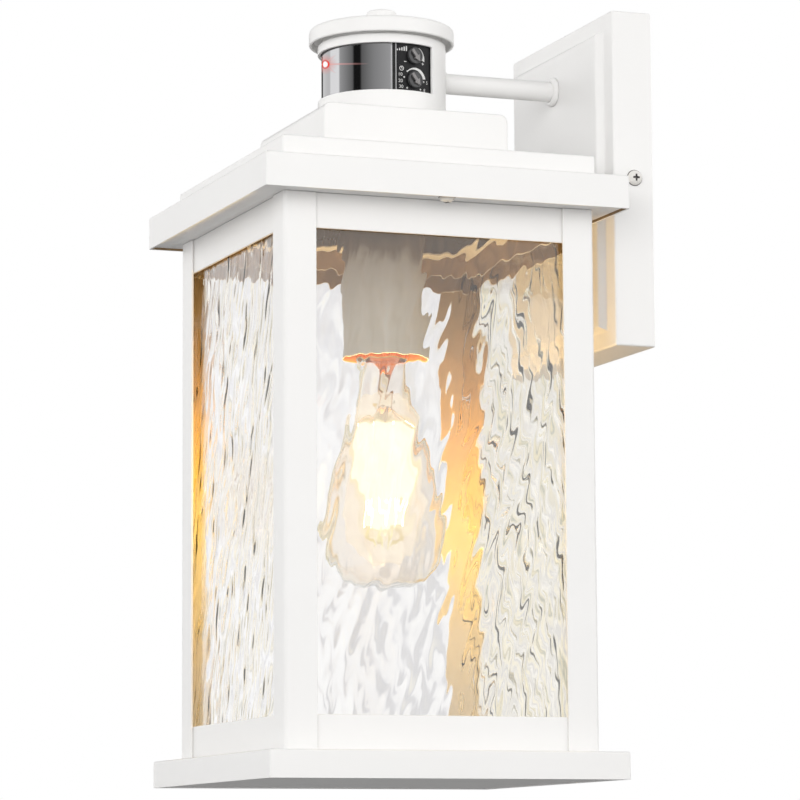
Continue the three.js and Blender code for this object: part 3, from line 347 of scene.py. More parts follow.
def screw_enamel():
    return varied_finish(
        "screw_enamel", around((0.80, 0.78, 0.74), 0.02), drift=240, roughness=(0.3, 0.42), grain=1500,
        depth=6e-6,
    )


# Painted shade for the cross recess of a screw and the thin ring round its foot.
def screw_painted_shade():
    return varied_finish(
        "screw_painted_shade", around((0.17, 0.16, 0.15), 0.1), drift=400, roughness=(0.5, 0.65), grain=2200,
        depth=6e-6,
    )


def support_wire():
    return varied_finish(
        "support_wire", around((0.42, 0.22, 0.08), 0.1), drift=300, roughness=(0.3, 0.45), grain=2600,
        depth=4e-6, sockets={"Metallic": 0.6},
    )


def painted_shade_lining(name, colour, glow, strength):
    """A dark coat of painted shade, with a painted glow for the light that the bulb's many reflections leave
    on it.
    """
    return varied_finish(
        name, around(colour, 0.3), drift=160, roughness=(0.55, 0.7), grain=900, depth=1.5e-5,
        stretch=(1, 1, 0.3), sockets={"Emission Color": (*glow, 1.0), "Emission Strength": strength},
    )


def roof_painted_shade():
    """Painted shade inside the roof, with a faint painted glow of the bulb's light."""
    return painted_shade_lining("roof_painted_shade", (0.19, 0.13, 0.07), (1.0, 0.62, 0.30), 0.05)


def frame_painted_shade():
    """Painted shade on the inside of the cage's top frame, with a faint painted glow of the bulb's light."""
    return painted_shade_lining("frame_painted_shade", (0.26, 0.175, 0.09), (1.0, 0.66, 0.36), 0.025)


def coat_with_painted_light(name, coat, heights, share, streaks, wander, roughness):
    """Paint whose colour by height in metres paints in the bulb's light and shade, its bands made uneven by
    upright streaks.
    """
    if name not in FINISHES:
        tree, shader = new_finish(name)
        height = place_from(tree, (0, 0, 0))[1]["Z"]
        uneven = spread(tree, surface_noise(tree, *streaks), *wander)
        band = sums(tree, "ADD", spread(tree, height, *share, *heights), uneven)
        set_inputs(tree, shader, {
            "Base Color": ramp(tree, band, coat),
            "Roughness": spread(tree, surface_noise(tree, 330), *roughness),
            "Normal": bumped(tree, surface_noise(tree, 1000), 1.6e-5),
        })
    return FINISHES[name]


def post_painted_light(low, high):
    """The inside of a corner post with the bulb's light and shade painted in: cream at its foot, painted
    yellow light beside the bulb and painted shade above.
    """
    # Colours by height: painted yellow light of the bulb, then painted brown shade towards the top.
    coat = [(0.0, (0.92, 0.89, 0.80)), (0.2, (0.94, 0.87, 0.68)), (0.4, (0.98, 0.88, 0.42)),
            (0.52, (0.96, 0.76, 0.31)), (0.62, (0.92, 0.63, 0.25)), (0.75, (0.66, 0.46, 0.25)),
            (0.9, (0.42, 0.32, 0.19)), (1.0, (0.30, 0.21, 0.12))]
    return coat_with_painted_light("post_painted_light", coat, (low, high), share=(0.0, 1.0), streaks=(90, (1, 1, 0.4)),
                        wander=(-0.07, 0.07, 0.2, 0.8), roughness=(0.4, 0.52))


def sleeve_paint(low, high):
    """The sleeve's coat, with painted shade that darkens it towards its upper end."""
    coat = [(0.0, (0.99, 0.97, 0.90)), (0.36, (0.88, 0.85, 0.75)), (0.65, (0.44, 0.36, 0.26)),
            (1.0, (0.32, 0.25, 0.17))]
    return coat_with_painted_light("sleeve_powder_coat", coat, (low, high), share=(0.18, 1.0),
                        streaks=(170, (1, 1, 0.25)), wander=(-0.18, 0.2, 0.3, 0.7), roughness=(0.38, 0.5))


def sleeve_inside_painted_light():
    """The inside of the sleeve, painted orange for the bulb's light on it."""
    return varied_finish(
        "sleeve_inside_painted_light", [(0.80, 0.26, 0.06), (0.88, 0.38, 0.11)], drift=70, roughness=(0.4, 0.55),
        grain=1100, depth=1.4e-5,
    )


# Grey strips that paint the highlights on the edges of the lens and the panel.
def painted_edge_highlight():
    return varied_finish(
        "window_edge_grey", around((0.50, 0.50, 0.51), 0.04), drift=200, roughness=(0.2, 0.3), grain=2000,
        depth=3e-6,
    )


def earth_green():
    return varied_finish(
        "earth_screw_green", around((0.06, 0.30, 0.11), 0.1), drift=300, roughness=(0.25, 0.4),
        grain=2400, depth=5e-6,
    )


def insulation(name, colour):
    return varied_finish(
        name, around(colour, 0.06), drift=240, roughness=(0.38, 0.52), grain=1800, depth=8e-6,
    )


def lens_plastic():
    return varied_finish(
        "infrared_lens", around((0.30, 0.30, 0.305), 0.01), drift=60, roughness=(0.045, 0.07), grain=900,
        depth=3e-7, stretch=(1, 1, 0.3), sockets={"Metallic": 1.0},
    )


def panel_plastic():
    return varied_finish(
        "control_panel_black", around((0.009, 0.009, 0.010), 0.15), drift=180, roughness=(0.5, 0.62),
        grain=3200, depth=9e-6, sockets={"Specular IOR Level": 0.3},
    )


def knob_plastic():
    return varied_finish(
        "knob_black", around((0.042, 0.042, 0.044), 0.12), drift=320, roughness=(0.26, 0.4), grain=2600,
        depth=7e-6,
    )


def arrow_plastic():
    return varied_finish(
        "knob_arrow_grey", around((0.22, 0.21, 0.21), 0.25), drift=1800, roughness=(0.3, 0.45),
        grain=2600, depth=7e-6,
    )


# Black for the panel's gasket, and for the painted shade of each knob's groove.
def black_gasket_and_shade():
    return varied_finish(
        "gasket_and_shade_black", around((0.006, 0.006, 0.006), 0.2), drift=300, roughness=(0.5, 0.7), grain=2200,
        depth=9e-6,
    )


def marking_ink():
    return varied_finish(
        "marking_ink", around((0.74, 0.74, 0.73), 0.07), drift=900, roughness=(0.45, 0.6), grain=4200,
        depth=5e-6,
    )


def component_blue():
    return varied_finish(
        "component_blue", around((0.03, 0.12, 0.42), 0.12), drift=200, roughness=(0.35, 0.5), grain=2400,
        depth=8e-6,
    )


def porcelain_glaze():
    return varied_finish(
        "porcelain_glaze", around((0.83, 0.80, 0.72), 0.03), drift=90, roughness=(0.12, 0.24), grain=500,
        depth=2e-5, sockets={"Coat Weight": 0.6, "Coat Roughness": 0.08},
    )


def brass_shell():
    return varied_finish(
        "brass_shell", [(0.62, 0.43, 0.17), (0.78, 0.58, 0.27)], drift=220, roughness=(0.22, 0.38),
        grain=2200, depth=7e-6, stretch=(1, 1, 4), sockets={"Metallic": 1.0},
    )


def circuit_laminate():
    """Lacquered laminate with its copper tracks showing through."""
    tree, shader = new_finish("circuit_laminate")
    tracks = add_node(tree, "ShaderNodeTexBrick", {
        "Vector": place_on_piece(tree),
        "Scale": 260.0, "Mortar Size": 0.028, "Mortar": (0.06, 0.30, 0.12, 1),
        "Color1": (0.012, 0.11, 0.035, 1), "Color2": (0.018, 0.14, 0.045, 1),
    })
    set_inputs(tree, shader, {
        "Base Color": tracks.outputs["Color"],
        "Roughness": spread(tree, surface_noise(tree, 700), 0.22, 0.36),
        "Normal": bumped(tree, tracks.outputs["Fac"], 2e-5),
    })
    return FINISHES["circuit_laminate"]


def clear_glass(name, colour, refraction, drift, grain, stretch, depth):
    """Tinted glass whose surface is faintly uneven, in the measures of varied_finish."""
    if name not in FINISHES:
        tree, shader = new_finish(name)
        set_inputs(tree, shader, {
            "Transmission Weight": 1.0, "IOR": refraction, "Roughness": 0.0,
            "Base Color": drifting(tree, around(colour, 0.012), drift),
            "Normal": bumped(tree, surface_noise(tree, grain, stretch), depth),
        })
    return FINISHES[name]


def ripple_glass(name, colour):
    return clear_glass(name, colour, refraction=1.5, drift=30, grain=160, stretch=(1, 1, 0.3), depth=2e-5)


def bulb_glass():
    return clear_glass("bulb_glass", bpy.context.scene.lantern_bulb.tint, refraction=1.45, drift=35,
                       grain=60, stretch=(1, 1, 1), depth=2.5e-5)


def new_glow(name):
    """The node tree of a new material that only gives light."""
    tree, shader = new_finish(name)
    tree.nodes.remove(shader)
    FINISHES[name].cycles.emission_sampling = "NONE"
    return tree


def give_light(tree, colour, cover, strength=1.0):
    """Lights a surface, which shows what lies behind it by the share that it doesn't cover."""
    light = add_node(tree, "ShaderNodeEmission", {"Color": colour, "Strength": strength})
    if cover is not None:
        clear = add_node(tree, "ShaderNodeBsdfTransparent")
        light = add_node(tree, "ShaderNodeMixShader", {0: cover, 1: clear.outputs[0], 2: light.outputs[0]})
    tree.links.new(light.outputs[0], tree.nodes["Material Output"].inputs["Surface"])


def lit_material(name, colour, strength, cover=None, wander=0.15):
    """A glow that is much the same all over."""
    tree = new_glow(name)
    give_light(tree, drifting(tree, around(colour, wander / 2), 110), cover, strength)
    return FINISHES[name]


def caught_light(centre, half_width, half_height):
    """Upright glints of the bulb in the ripples of a pane, faint towards the border of their patch."""
    tree = new_glow("caught_light")
    streaks = surface_noise(tree, 360, (1, 1, 0.1), detail=3.0)
    patches = surface_noise(tree, 90, (1, 1, 0.8))
    contrast = sums(tree, "ABSOLUTE", sums(tree, "SUBTRACT", streaks, 0.5))
    cover = sums(tree, "MULTIPLY", spread(tree, contrast, 0.3, 0.8, 0.02, 0.08),
                 spread(tree, patches, 0.3, 1.0, 0.34, 0.5))
    parts = place_from(tree, centre)[1]
    for axis, half in (("Y", half_width), ("Z", half_height)):
        fade = spread(tree, sums(tree, "ABSOLUTE", parts[axis]), 1.0, 0.0, half * 0.35, half)
        cover = sums(tree, "MULTIPLY", cover, fade)
    gold = ramp(tree, streaks, [(0.42, (0.46, 0.33, 0.20)), (0.49, (0.76, 0.57, 0.36)),
                                (0.54, (1.0, 0.80, 0.50)), (0.6, (1.0, 0.96, 0.86))])
    give_light(tree, gold, cover)
    return FINISHES["caught_light"]


def indicator_glow(centre):
    """The indicator's flare: a white core, broken red ring, pink haze, four rays and a streak."""
    tree = new_glow("indicator_flare")
    red = tuple(bpy.context.scene.lantern_sensor.indicator)
    narrow, tilt = 0.45, (0.202, -0.077, 1.0)  # how the lens, seen aslant, squeezes and tips the flare
    haze_radius, ray_width, streak_width, least = 5.2 * MM, 0.5 * MM, 0.6 * MM, 0.1 * MM
    offset, parts = place_from(tree, centre)
    x = sums(tree, "MULTIPLY", parts["X"], narrow)
    tilted = add_node(tree, "ShaderNodeVectorMath", {0: offset, 1: tilt}, operation="DOT_PRODUCT")
    z = tilted.outputs["Value"]
    across, height = sums(tree, "ABSOLUTE", x), sums(tree, "ABSOLUTE", z)
    square = sums(tree, "ADD", sums(tree, "POWER", x, 2.0), sums(tree, "POWER", z, 2.0))
    distance = sums(tree, "SQRT", square)
    reach = sums(tree, "DIVIDE", distance, haze_radius)
    upright = sums(tree, "DIVIDE", height, sums(tree, "MAXIMUM", distance, least))
    broken = spread(tree, upright, 1.0, 0.15, 0.5, 0.9)
    colour = ramp(tree, reach, [(0.0, (1, 1, 1)), (0.2, (1, 1, 1)), (0.27, (1.0, 0.8, 0.8)), (0.31, red),
                                (0.42, red), (0.48, (1.0, 0.4, 0.36)), (1.0, (1.0, 0.5, 0.48))])
    core = ramp(tree, reach, [(0.0, (1, 1, 1)), (0.26, (1, 1, 1)), (0.31, (0, 0, 0))])
    ring = ramp(tree, reach, [(0.24, (0, 0, 0)), (0.31, (0.85,) * 3), (0.4, (0.8,) * 3), (0.47, (0, 0, 0))])
    haze = ramp(tree, reach, [(0.25, (0.55,) * 3), (0.55, (0.28,) * 3), (1.0, (0, 0, 0))])
    slant = sums(tree, "ABSOLUTE", sums(tree, "SUBTRACT", height, across))
    ray = sums(tree, "SUBTRACT", 1.0, sums(tree, "DIVIDE", slant, ray_width), clamp=True)
    ray = sums(tree, "MULTIPLY", ray, spread(tree, distance, 0.9, 0.0, 1.4 * MM, 6.6 * MM))
    thin = sums(tree, "SUBTRACT", 1.0, sums(tree, "DIVIDE", height, streak_width), clamp=True)
    streak = sums(tree, "MULTIPLY", thin, spread(tree, parts["X"], 0.9, 0.0, 2 * MM, 24.5 * MM))
    cover = sums(tree, "MAXIMUM", core, sums(tree, "MULTIPLY", ring, broken))
    for part in (haze, ray, streak):
        cover = sums(tree, "MAXIMUM", cover, part)
    give_light(tree, colour, cover)
    return FINISHES["indicator_flare"]


# ---- Shapes -----------------------------------------------------------------------------------------


def new_object(name, data):
    """An object in the scene, at the origin."""
    made = bpy.data.objects.new(name, data)
    bpy.context.scene.collection.objects.link(made)
    return made


def new_mesh(name, bm):
    """A mesh from a bmesh, which is used up."""
    mesh = bpy.data.meshes.new(name)
    bm.to_mesh(mesh)
    bm.free()
    return mesh


def add_piece(name, bm, body, slot, finish, replaces=None, sharp=38, sheet=0.0, edge=0.0, shadow=True,
              lined=False):
    """
    Turns a bmesh into a finished piece on a CAD body. A sheet is thickened inwards, its inner side in the
    second finish if it is lined, and an edge radius rounds what is left sharp; both are in millimetres.
    """
    mesh = new_mesh(name, bm)
    mesh.shade_smooth()
    for material in finish if isinstance(finish, list) else [finish]:
        mesh.materials.append(material)
    piece = new_object(name, mesh)
    if sheet:
        skin = piece.modifiers.new("Sheet", "SOLIDIFY")
        skin.thickness, skin.offset, skin.use_even_offset = sheet * MM, -1.0, True
        skin.material_offset = int(lined)
    if edge:
        bevel = piece.modifiers.new("Edges", "BEVEL")
        bevel.limit_method, bevel.angle_limit = "ANGLE", math.radians(sharp)
        bevel.width, bevel.segments, bevel.miter_outer = edge * MM, 2, "MITER_ARC"
    else:
        mesh.set_sharp_from_angle(angle=math.radians(sharp))
    if shadow:
        normals = piece.modifiers.new("Normals", "WEIGHTED_NORMAL")
        normals.keep_sharp = not edge
    piece.visible_shadow = shadow
    if replaces:
        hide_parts(replaces)
    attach(piece, body)
    return piece


def painted(name, bm, body, node, lining=None, **how):
    """A piece in white paint that stands for a CAD node; a lining is the finish of its inner side."""
    finish = [white_paint(), lining] if lining else white_paint()
    return add_piece(name, bm, body, "white_paint", finish, node, **how)


def glowing(name, bm, body, slot, finish, **how):
    """A piece that throws no shadow and only seems to give light: it lights no other surface."""
    piece = add_piece(name, bm, body, slot, finish, shadow=False, **how)
    piece.visible_diffuse = False
    return piece


def body_of(node):
    return frame["nodes"][node]["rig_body"]


def open_box(lo, hi, open_side):
    """A block in metres without the face on one side."""
    bm = bmesh.new()
    size = Matrix.Diagonal((*(hi - lo), 1.0))
    bmesh.ops.create_cube(bm, size=1.0, matrix=Matrix.Translation((lo + hi) / 2) @ size)
    bm.normal_update()
    gone = [f for f in bm.faces if f.normal.dot(Vector(open_side)) > 0.9]
    bmesh.ops.delete(bm, geom=gone, context="FACES_ONLY")
    return bm


def round_edges(bm, edges, radius, segments):
    bmesh.ops.bevel(bm, geom=edges, offset=radius, offset_type="OFFSET", segments=segments, profile=0.5,
                    affect="EDGES", material=-1)
    bm.normal_update()


def folds(bm):
    """Edges where two faces meet at more than 60 degrees."""
    return [e for e in bm.edges if len(e.link_faces) == 2 and e.calc_face_angle() > math.radians(60)]


def folded_tray(node):
    """A square tray of folded sheet, open below."""
    bm = open_box(*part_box(node), (0, 0, -1))
    round_edges(bm, folds(bm), bpy.context.scene.lantern_paint.bend, 4)
    return bm


def line(bm, points, closed=False):
    """Draws a line through points in metres, and returns its vertices and its edges."""
    verts = [bm.verts.new(point) for point in points]
    ends = verts[1:] + verts[:1] if closed else verts[1:]
    return verts, [bm.edges.new(pair) for pair in zip(verts, ends)]


def only(made, kind):
    return [part for part in made if isinstance(part, kind)]


def drawn_out(bm, edges):
    """Extrudes edges, and returns the new vertices and the new edges."""
    made = bmesh.ops.extrude_edge_only(bm, edges=edges)["geom"]
    return only(made, bmesh.types.BMVert), only(made, bmesh.types.BMEdge)


def clean(bm):
    """Merges what coincides and turns the faces outwards."""
    bmesh.ops.remove_doubles(bm, verts=bm.verts, dist=TINY)
    bmesh.ops.recalc_face_normals(bm, faces=bm.faces)


def face_outwards(bm, face):
    """Turns all faces over where one of them, on an upright wall round Z, faces inwards."""
    if face.normal.dot(Vector((*face.calc_center_median().xy, 0))) < 0:
        bmesh.ops.reverse_faces(bm, faces=bm.faces)


def arc(r, z, radius, start, end, steps):
    """Points of an arc in a section, angles in degrees from outwards to upwards."""
    angles = [math.radians(start + (end - start) * i / steps) for i in range(steps + 1)]
    return [(r + radius * math.cos(a), z + radius * math.sin(a)) for a in angles]


def spun(section, steps, closed=True, angle=360.0, start=0.0):
    """A section of [radius, height] points in millimetres, spun about Z, at the origin."""
    bm = bmesh.new()
    verts, edges = line(bm, [(r * MM, 0, z * MM) for r, z in section], closed)
    bmesh.ops.rotate(bm, verts=verts, matrix=Matrix.Rotation(math.radians(start), 3, "Z"))
    full = abs(angle - 360.0) < TINY
    bmesh.ops.spin(bm, geom=verts + edges, cent=(0, 0, 0), axis=(0, 0, 1), angle=math.radians(angle),
                   steps=steps, use_merge=full)
    clean(bm)
    return bm


def moved(bm, matrix):
    bmesh.ops.transform(bm, matrix=matrix, verts=bm.verts)
    return bm


def on_axis(bm, z=0.0):
    """Moves a form from the origin to the lantern's own axis."""
    return moved(bm, Matrix.Translation(AXIS + Vector((0, 0, z * MM))))


def polar(turn, r, z):
    """A point at an angle round Z, a distance from it and a height."""
    return Vector((r * math.cos(turn), r * math.sin(turn), z))


def pointing(direction, at):
    """A matrix that turns local Z towards a direction and moves the origin to a place in metres."""
    turn = Vector(direction).to_track_quat("Z", "Y").to_matrix().to_4x4()
    return Matrix.Translation(at) @ turn


def columns(x_axis, y_axis, z_axis, origin):
    """A matrix from where its axes point and its origin lies."""
    return Matrix((*zip(x_axis, y_axis, z_axis, origin), (0, 0, 0, 1)))


def curved_strip(radius, z0, z1, start, end, step=1.5):
    """An upright strip round the lantern's axis, its ends in degrees from the front towards +X."""
    steps = max(2, round((end - start) / step))
    bm = spun([(radius, z0), (radius, z1)], steps, closed=False, angle=end - start, start=start + FRONT)
    face_outwards(bm, max(bm.faces, key=lambda f: f.calc_area()))
    return on_axis(bm)


def square_ring(section):
    """A square ring round the lantern's axis with mitred corners, from [half width, z] points."""
    bm = bmesh.new()
    verts, edges = line(bm, [(half * MM, half * MM, z * MM) for half, z in section], closed=True)
    bmesh.ops.spin(bm, geom=verts + edges, cent=(0, 0, 0), axis=(0, 0, 1), angle=math.tau, steps=4,
                   use_merge=True)
    clean(bm)
    return on_axis(bm)


def rod_between(bm, start, end, radius, sides=8):
    """Adds a round bar between two points, all in millimetres."""
    run = (end - start) * MM
    place = pointing(run, (start + end) / 2 * MM)
    bmesh.ops.create_cone(bm, cap_ends=True, segments=sides, radius1=radius * MM, radius2=radius * MM,
                          depth=run.length, matrix=place)


def refined(node, name, slot, finish, edge=0.3, sharp=38):
    """A merged copy of a CAD node with its edges rounded, which stands for the node."""
    bm = bmesh.new()
    bm.from_mesh(frame["nodes"][node].data)
    bmesh.ops.remove_doubles(bm, verts=bm.verts, dist=TINY)
    bmesh.ops.dissolve_limit(bm, angle_limit=math.radians(1), verts=bm.verts, edges=bm.edges)
    return add_piece(name, bm, body_of(node), slot, finish, node, sharp, edge=edge)


def zinc_copy(node, ending, edge=0.3, sharp=38):
    """A refined copy of a zinc-plated node."""
    return refined(node, f"{node}_{ending}", "zinc_steel", zinc_steel(), edge, sharp)


def cross_screw(node, slot, finish, direction, seat):
    """A pan-head screw with painted shade in its cross recess and on a thin ring round its foot, its head on
    a seat and facing a direction.
    """
    lo, hi = box_mm(node)
    out = Vector(direction)
    axis = max(range(3), key=lambda i: abs(out[i]))
    across = [i for i in range(3) if i != axis]
    head_r = (hi - lo)[across[0]] / 2
    tip, tail = (hi[axis], lo[axis]) if out[axis] > 0 else (lo[axis], hi[axis])
    head_h, shank = abs(tip - seat), abs(seat - tail)
    crown_r = head_r * 0.92
    crown = [(crown_r * math.cos(math.radians(a)), head_h * (0.24 + 0.76 * math.sin(math.radians(a))))
             for a in (0, 14, 28, 42, 54)]
    section = [(0, -shank), (head_r * 0.34, -shank), (head_r * 0.46, -shank * 0.8), (head_r * 0.46, 0),
               (head_r, 0), (head_r, head_h * 0.1), (crown_r, head_h * 0.12), *crown]
    bm = spun(section, 32, closed=False)
    # The thin ring round the head's foot takes painted shade.
    for face in bm.faces:
        face.material_index = int(Vector(face.calc_center_median().xy).length > head_r * 0.93 * MM)
    rim = [e for e in bm.edges if e.is_boundary]
    arm, half, top, recess = head_r * 0.44, head_r * 0.11, head_h * 0.97, head_h * 0.62
    quarter = ((arm, -half), (arm, half), (half * 1.25, half * 1.25))
    turns = [Matrix.Rotation(turn * math.pi / 2, 3, "Z") for turn in range(4)]
    cross = line(bm, [turn @ Vector((x, y, top)) * MM for turn in turns for x, y in quarter], closed=True)[1]
    bmesh.ops.bridge_loops(bm, edges=rim + cross)
    outside = set(bm.faces)
    floor, floor_edges = drawn_out(bm, cross)
    bmesh.ops.scale(bm, vec=(0.8, 0.8, 1.0), verts=floor)
    bmesh.ops.translate(bm, vec=(0, 0, -recess * MM), verts=floor)
    bmesh.ops.holes_fill(bm, edges=floor_edges, sides=0)
    # The faces of the cross recess take painted shade.
    for face in set(bm.faces) - outside:
        face.material_index = 1
    bmesh.ops.recalc_face_normals(bm, faces=bm.faces)
    centre = (lo + hi) / 2 * MM
    centre[axis] = seat * MM
    moved(bm, pointing(out, centre))
    return add_piece(f"{node}_pan", bm, body_of(node), slot, [finish, screw_painted_shade()], node, sharp=30)


# ---- Wall plate and arm -----------------------------------------------------------------------------


class LANTERN_OT_wall_plate(bpy.types.Operator):
    """Folded wall plate with its raised front panel, and the bracket behind it"""

    bl_idname = "lantern.wall_plate"
    bl_label = "Wall Plate"

    def execute(self, context):
        lo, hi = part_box("wall_plate")
        rise, slope, rim, crease = 4.2 * MM, 2.6 * MM, 9.5 * MM, 1.1 * MM  # of the raised panel
        foot_x, foot_z = 51.8 * MM, 72.8 * MM  # half the width and height of its foot
        bm = open_box(Vector((lo.x, lo.y + rise, lo.z)), hi, (0, 1, 0))
        round_edges(bm, folds(bm), context.scene.lantern_paint.bend, 4)
        front = max((f for f in bm.faces if f.normal.y < -0.9), key=lambda f: f.calc_area())
        bmesh.ops.inset_individual(bm, faces=[front], thickness=rim)
        reach = max(v.co.x for v in front.verts), max(v.co.z for v in front.verts)
        bmesh.ops.scale(bm, vec=(foot_x / reach[0], 1, foot_z / reach[1]), verts=front.verts)
        foot = list(front.edges)
        bmesh.ops.inset_individual(bm, faces=[front], thickness=slope)
        for vert in front.verts:
            vert.co.y = lo.y
        bm.normal_update()
        round_edges(bm, foot + list(front.edges), crease, 4)
        painted("wall_plate_sheet", bm, "root", "wall_plate", sheet=SHEET, edge=0.3)
        zinc_copy("mounting_bracket", "strip")
        return {"FINISHED"}


class LANTERN_OT_arm(bpy.types.Operator):
    """Tube between wall plate and sensor head, with its collars and nuts"""

    bl_idname = "lantern.arm"
    bl_label = "Arm"

    def execute(self, context):
        lo, hi = box_mm("arm_tube")
        radius, bore, chamfer, gap = (hi.x - lo.x) / 2, 3.6, 0.4, 0.12
        at = Vector((0, 0, (lo.z + hi.z) / 2 * MM))
        tube = spun([(bore, -hi.y), (radius - chamfer, -hi.y), (radius, -hi.y + chamfer),
                     (radius, -lo.y - chamfer), (radius - chamfer, -lo.y), (bore, -lo.y)], 48)
        painted("arm_tube_coated", moved(tube, pointing((0, -1, 0), at)), "root", "arm_tube")
        for end, out in (("wall", -1), ("head", 1)):
            node = f"arm_collar_{end}"
            lo, hi = box_mm(node)
            collar_r, height = (hi.x - lo.x) / 2, hi.y - lo.y
            curve = min(height * 0.62, collar_r - radius - chamfer)
            section = [(radius + gap, 0), (collar_r - 0.2, 0), (collar_r, 0.2),
                       *arc(collar_r - curve, height - curve, curve, 0, 90, 6), (radius + gap, height)]
            seat = hi.y if out < 0 else lo.y
            collar = moved(spun(section, 48), pointing((0, out, 0), at + Vector((0, seat * MM, 0))))
            painted(f"{node}_turned", collar, "root", node)
        for end in ("wall", "head"):
            zinc_copy(f"arm_nut_{end}", "hex", edge=0.35)
        return {"FINISHED"}


# ---- Sensor head ------------------------------------------------------------------------------------


class LANTERN_OT_sensor_head(bpy.types.Operator):
    """Round housing of the sensor with its window, the cap over it and the finial"""

    bl_idname = "lantern.sensor_head"
    bl_label = "Sensor Head"

    def housing(self, sensor):
        lo, hi = box_mm("sensor_housing")
        glass_lo, glass_hi = box_mm("sensor_lens")
        radius = (hi.x - lo.x) / 2
        tuck = 1.5  # how far the lens reaches behind the window's edges
        sill, lintel = glass_lo.z + tuck, glass_hi.z - tuck
        bm = bmesh.new()
        bmesh.ops.create_circle(bm, cap_ends=True, radius=radius * MM, segments=240,
                                matrix=Matrix.Translation((0, 0, lo.z * MM)))
        bmesh.ops.reverse_faces(bm, faces=bm.faces)
        rim = [e for e in bm.edges if e.is_boundary]
        for top in (sill, lintel, hi.z):
            verts, edges = drawn_out(bm, rim)
            for vert in verts:
                vert.co.z = top * MM
            rim = [e for e in edges if e.is_boundary]
        bmesh.ops.recalc_face_normals(bm, faces=bm.faces)
        window = []
        for face in bm.faces:
            centre = face.calc_center_median()
            if sill * MM < centre.z < lintel * MM:
                turn = math.atan2(centre.x, -centre.y)
                if sensor.window_from < turn < sensor.window_to:
                    window.append(face)
        bmesh.ops.delete(bm, geom=window, context="FACES")
        bm.normal_update()
        face_outwards(bm, next(f for f in bm.faces if abs(f.normal.z) < 0.1))
        painted("sensor_housing_drum", on_axis(bm), "root", "sensor_housing", sheet=1.5, edge=0.3)

    def cap(self):
        lo, hi = box_mm("sensor_cap")
        drum_top = box_mm("sensor_housing")[1].z
        radius, under = (hi.x - lo.x) / 2, drum_top + 0.3
        rim_top, bore, spigot, lip, curve, wall = under + 7.9, 3.3, 29.1, 1.25, 2.3, 1.2
        inner, fillet, foot = radius - lip, 0.3, 0.75
        dome = [((radius - curve) * s, rim_top + (hi.z - rim_top) * (1 - s * s))
                for s in (0.95, 0.85, 0.7, 0.5, 0.3, 0.15)]
        section = [
            (bore, hi.z - 2.4), (spigot / 2, hi.z - 2.7), (spigot - wall, under + wall),
            (spigot - wall, lo.z), (spigot, lo.z), (spigot, under + 3.4), (inner - fillet, under + 3.4),
            (inner, under + 3.1),
            (inner, under + fillet), (inner + fillet, under), (radius - foot, under),
            *arc(radius - foot, under + foot, foot, -70, 0, 4),
            *arc(radius - curve, rim_top - curve, curve, 0, 84, 8), *dome, (bore, hi.z),
        ]
        painted("sensor_cap_shell", on_axis(spun(section, 128)), "root", "sensor_cap")

    def finial(self):
        lo, hi = box_mm("cap_finial")
        radius, height = (hi.x - lo.x) / 2, hi.z - lo.z
        curve, bore, depth, chamfer = height * 0.26, 3.1, 4.2, 0.4
        section = [(0, depth), (bore, depth), (bore, 0), (radius - chamfer, 0), (radius, chamfer),
                   *arc(radius - curve, height - curve, curve, 0, 90, 6), (0, height)]
        painted("cap_finial_turned", on_axis(spun(section, 64, closed=False), lo.z), "root", "cap_finial")

    def execute(self, context):
        self.housing(context.scene.lantern_sensor)
        self.cap()
        self.finial()
        return {"FINISHED"}


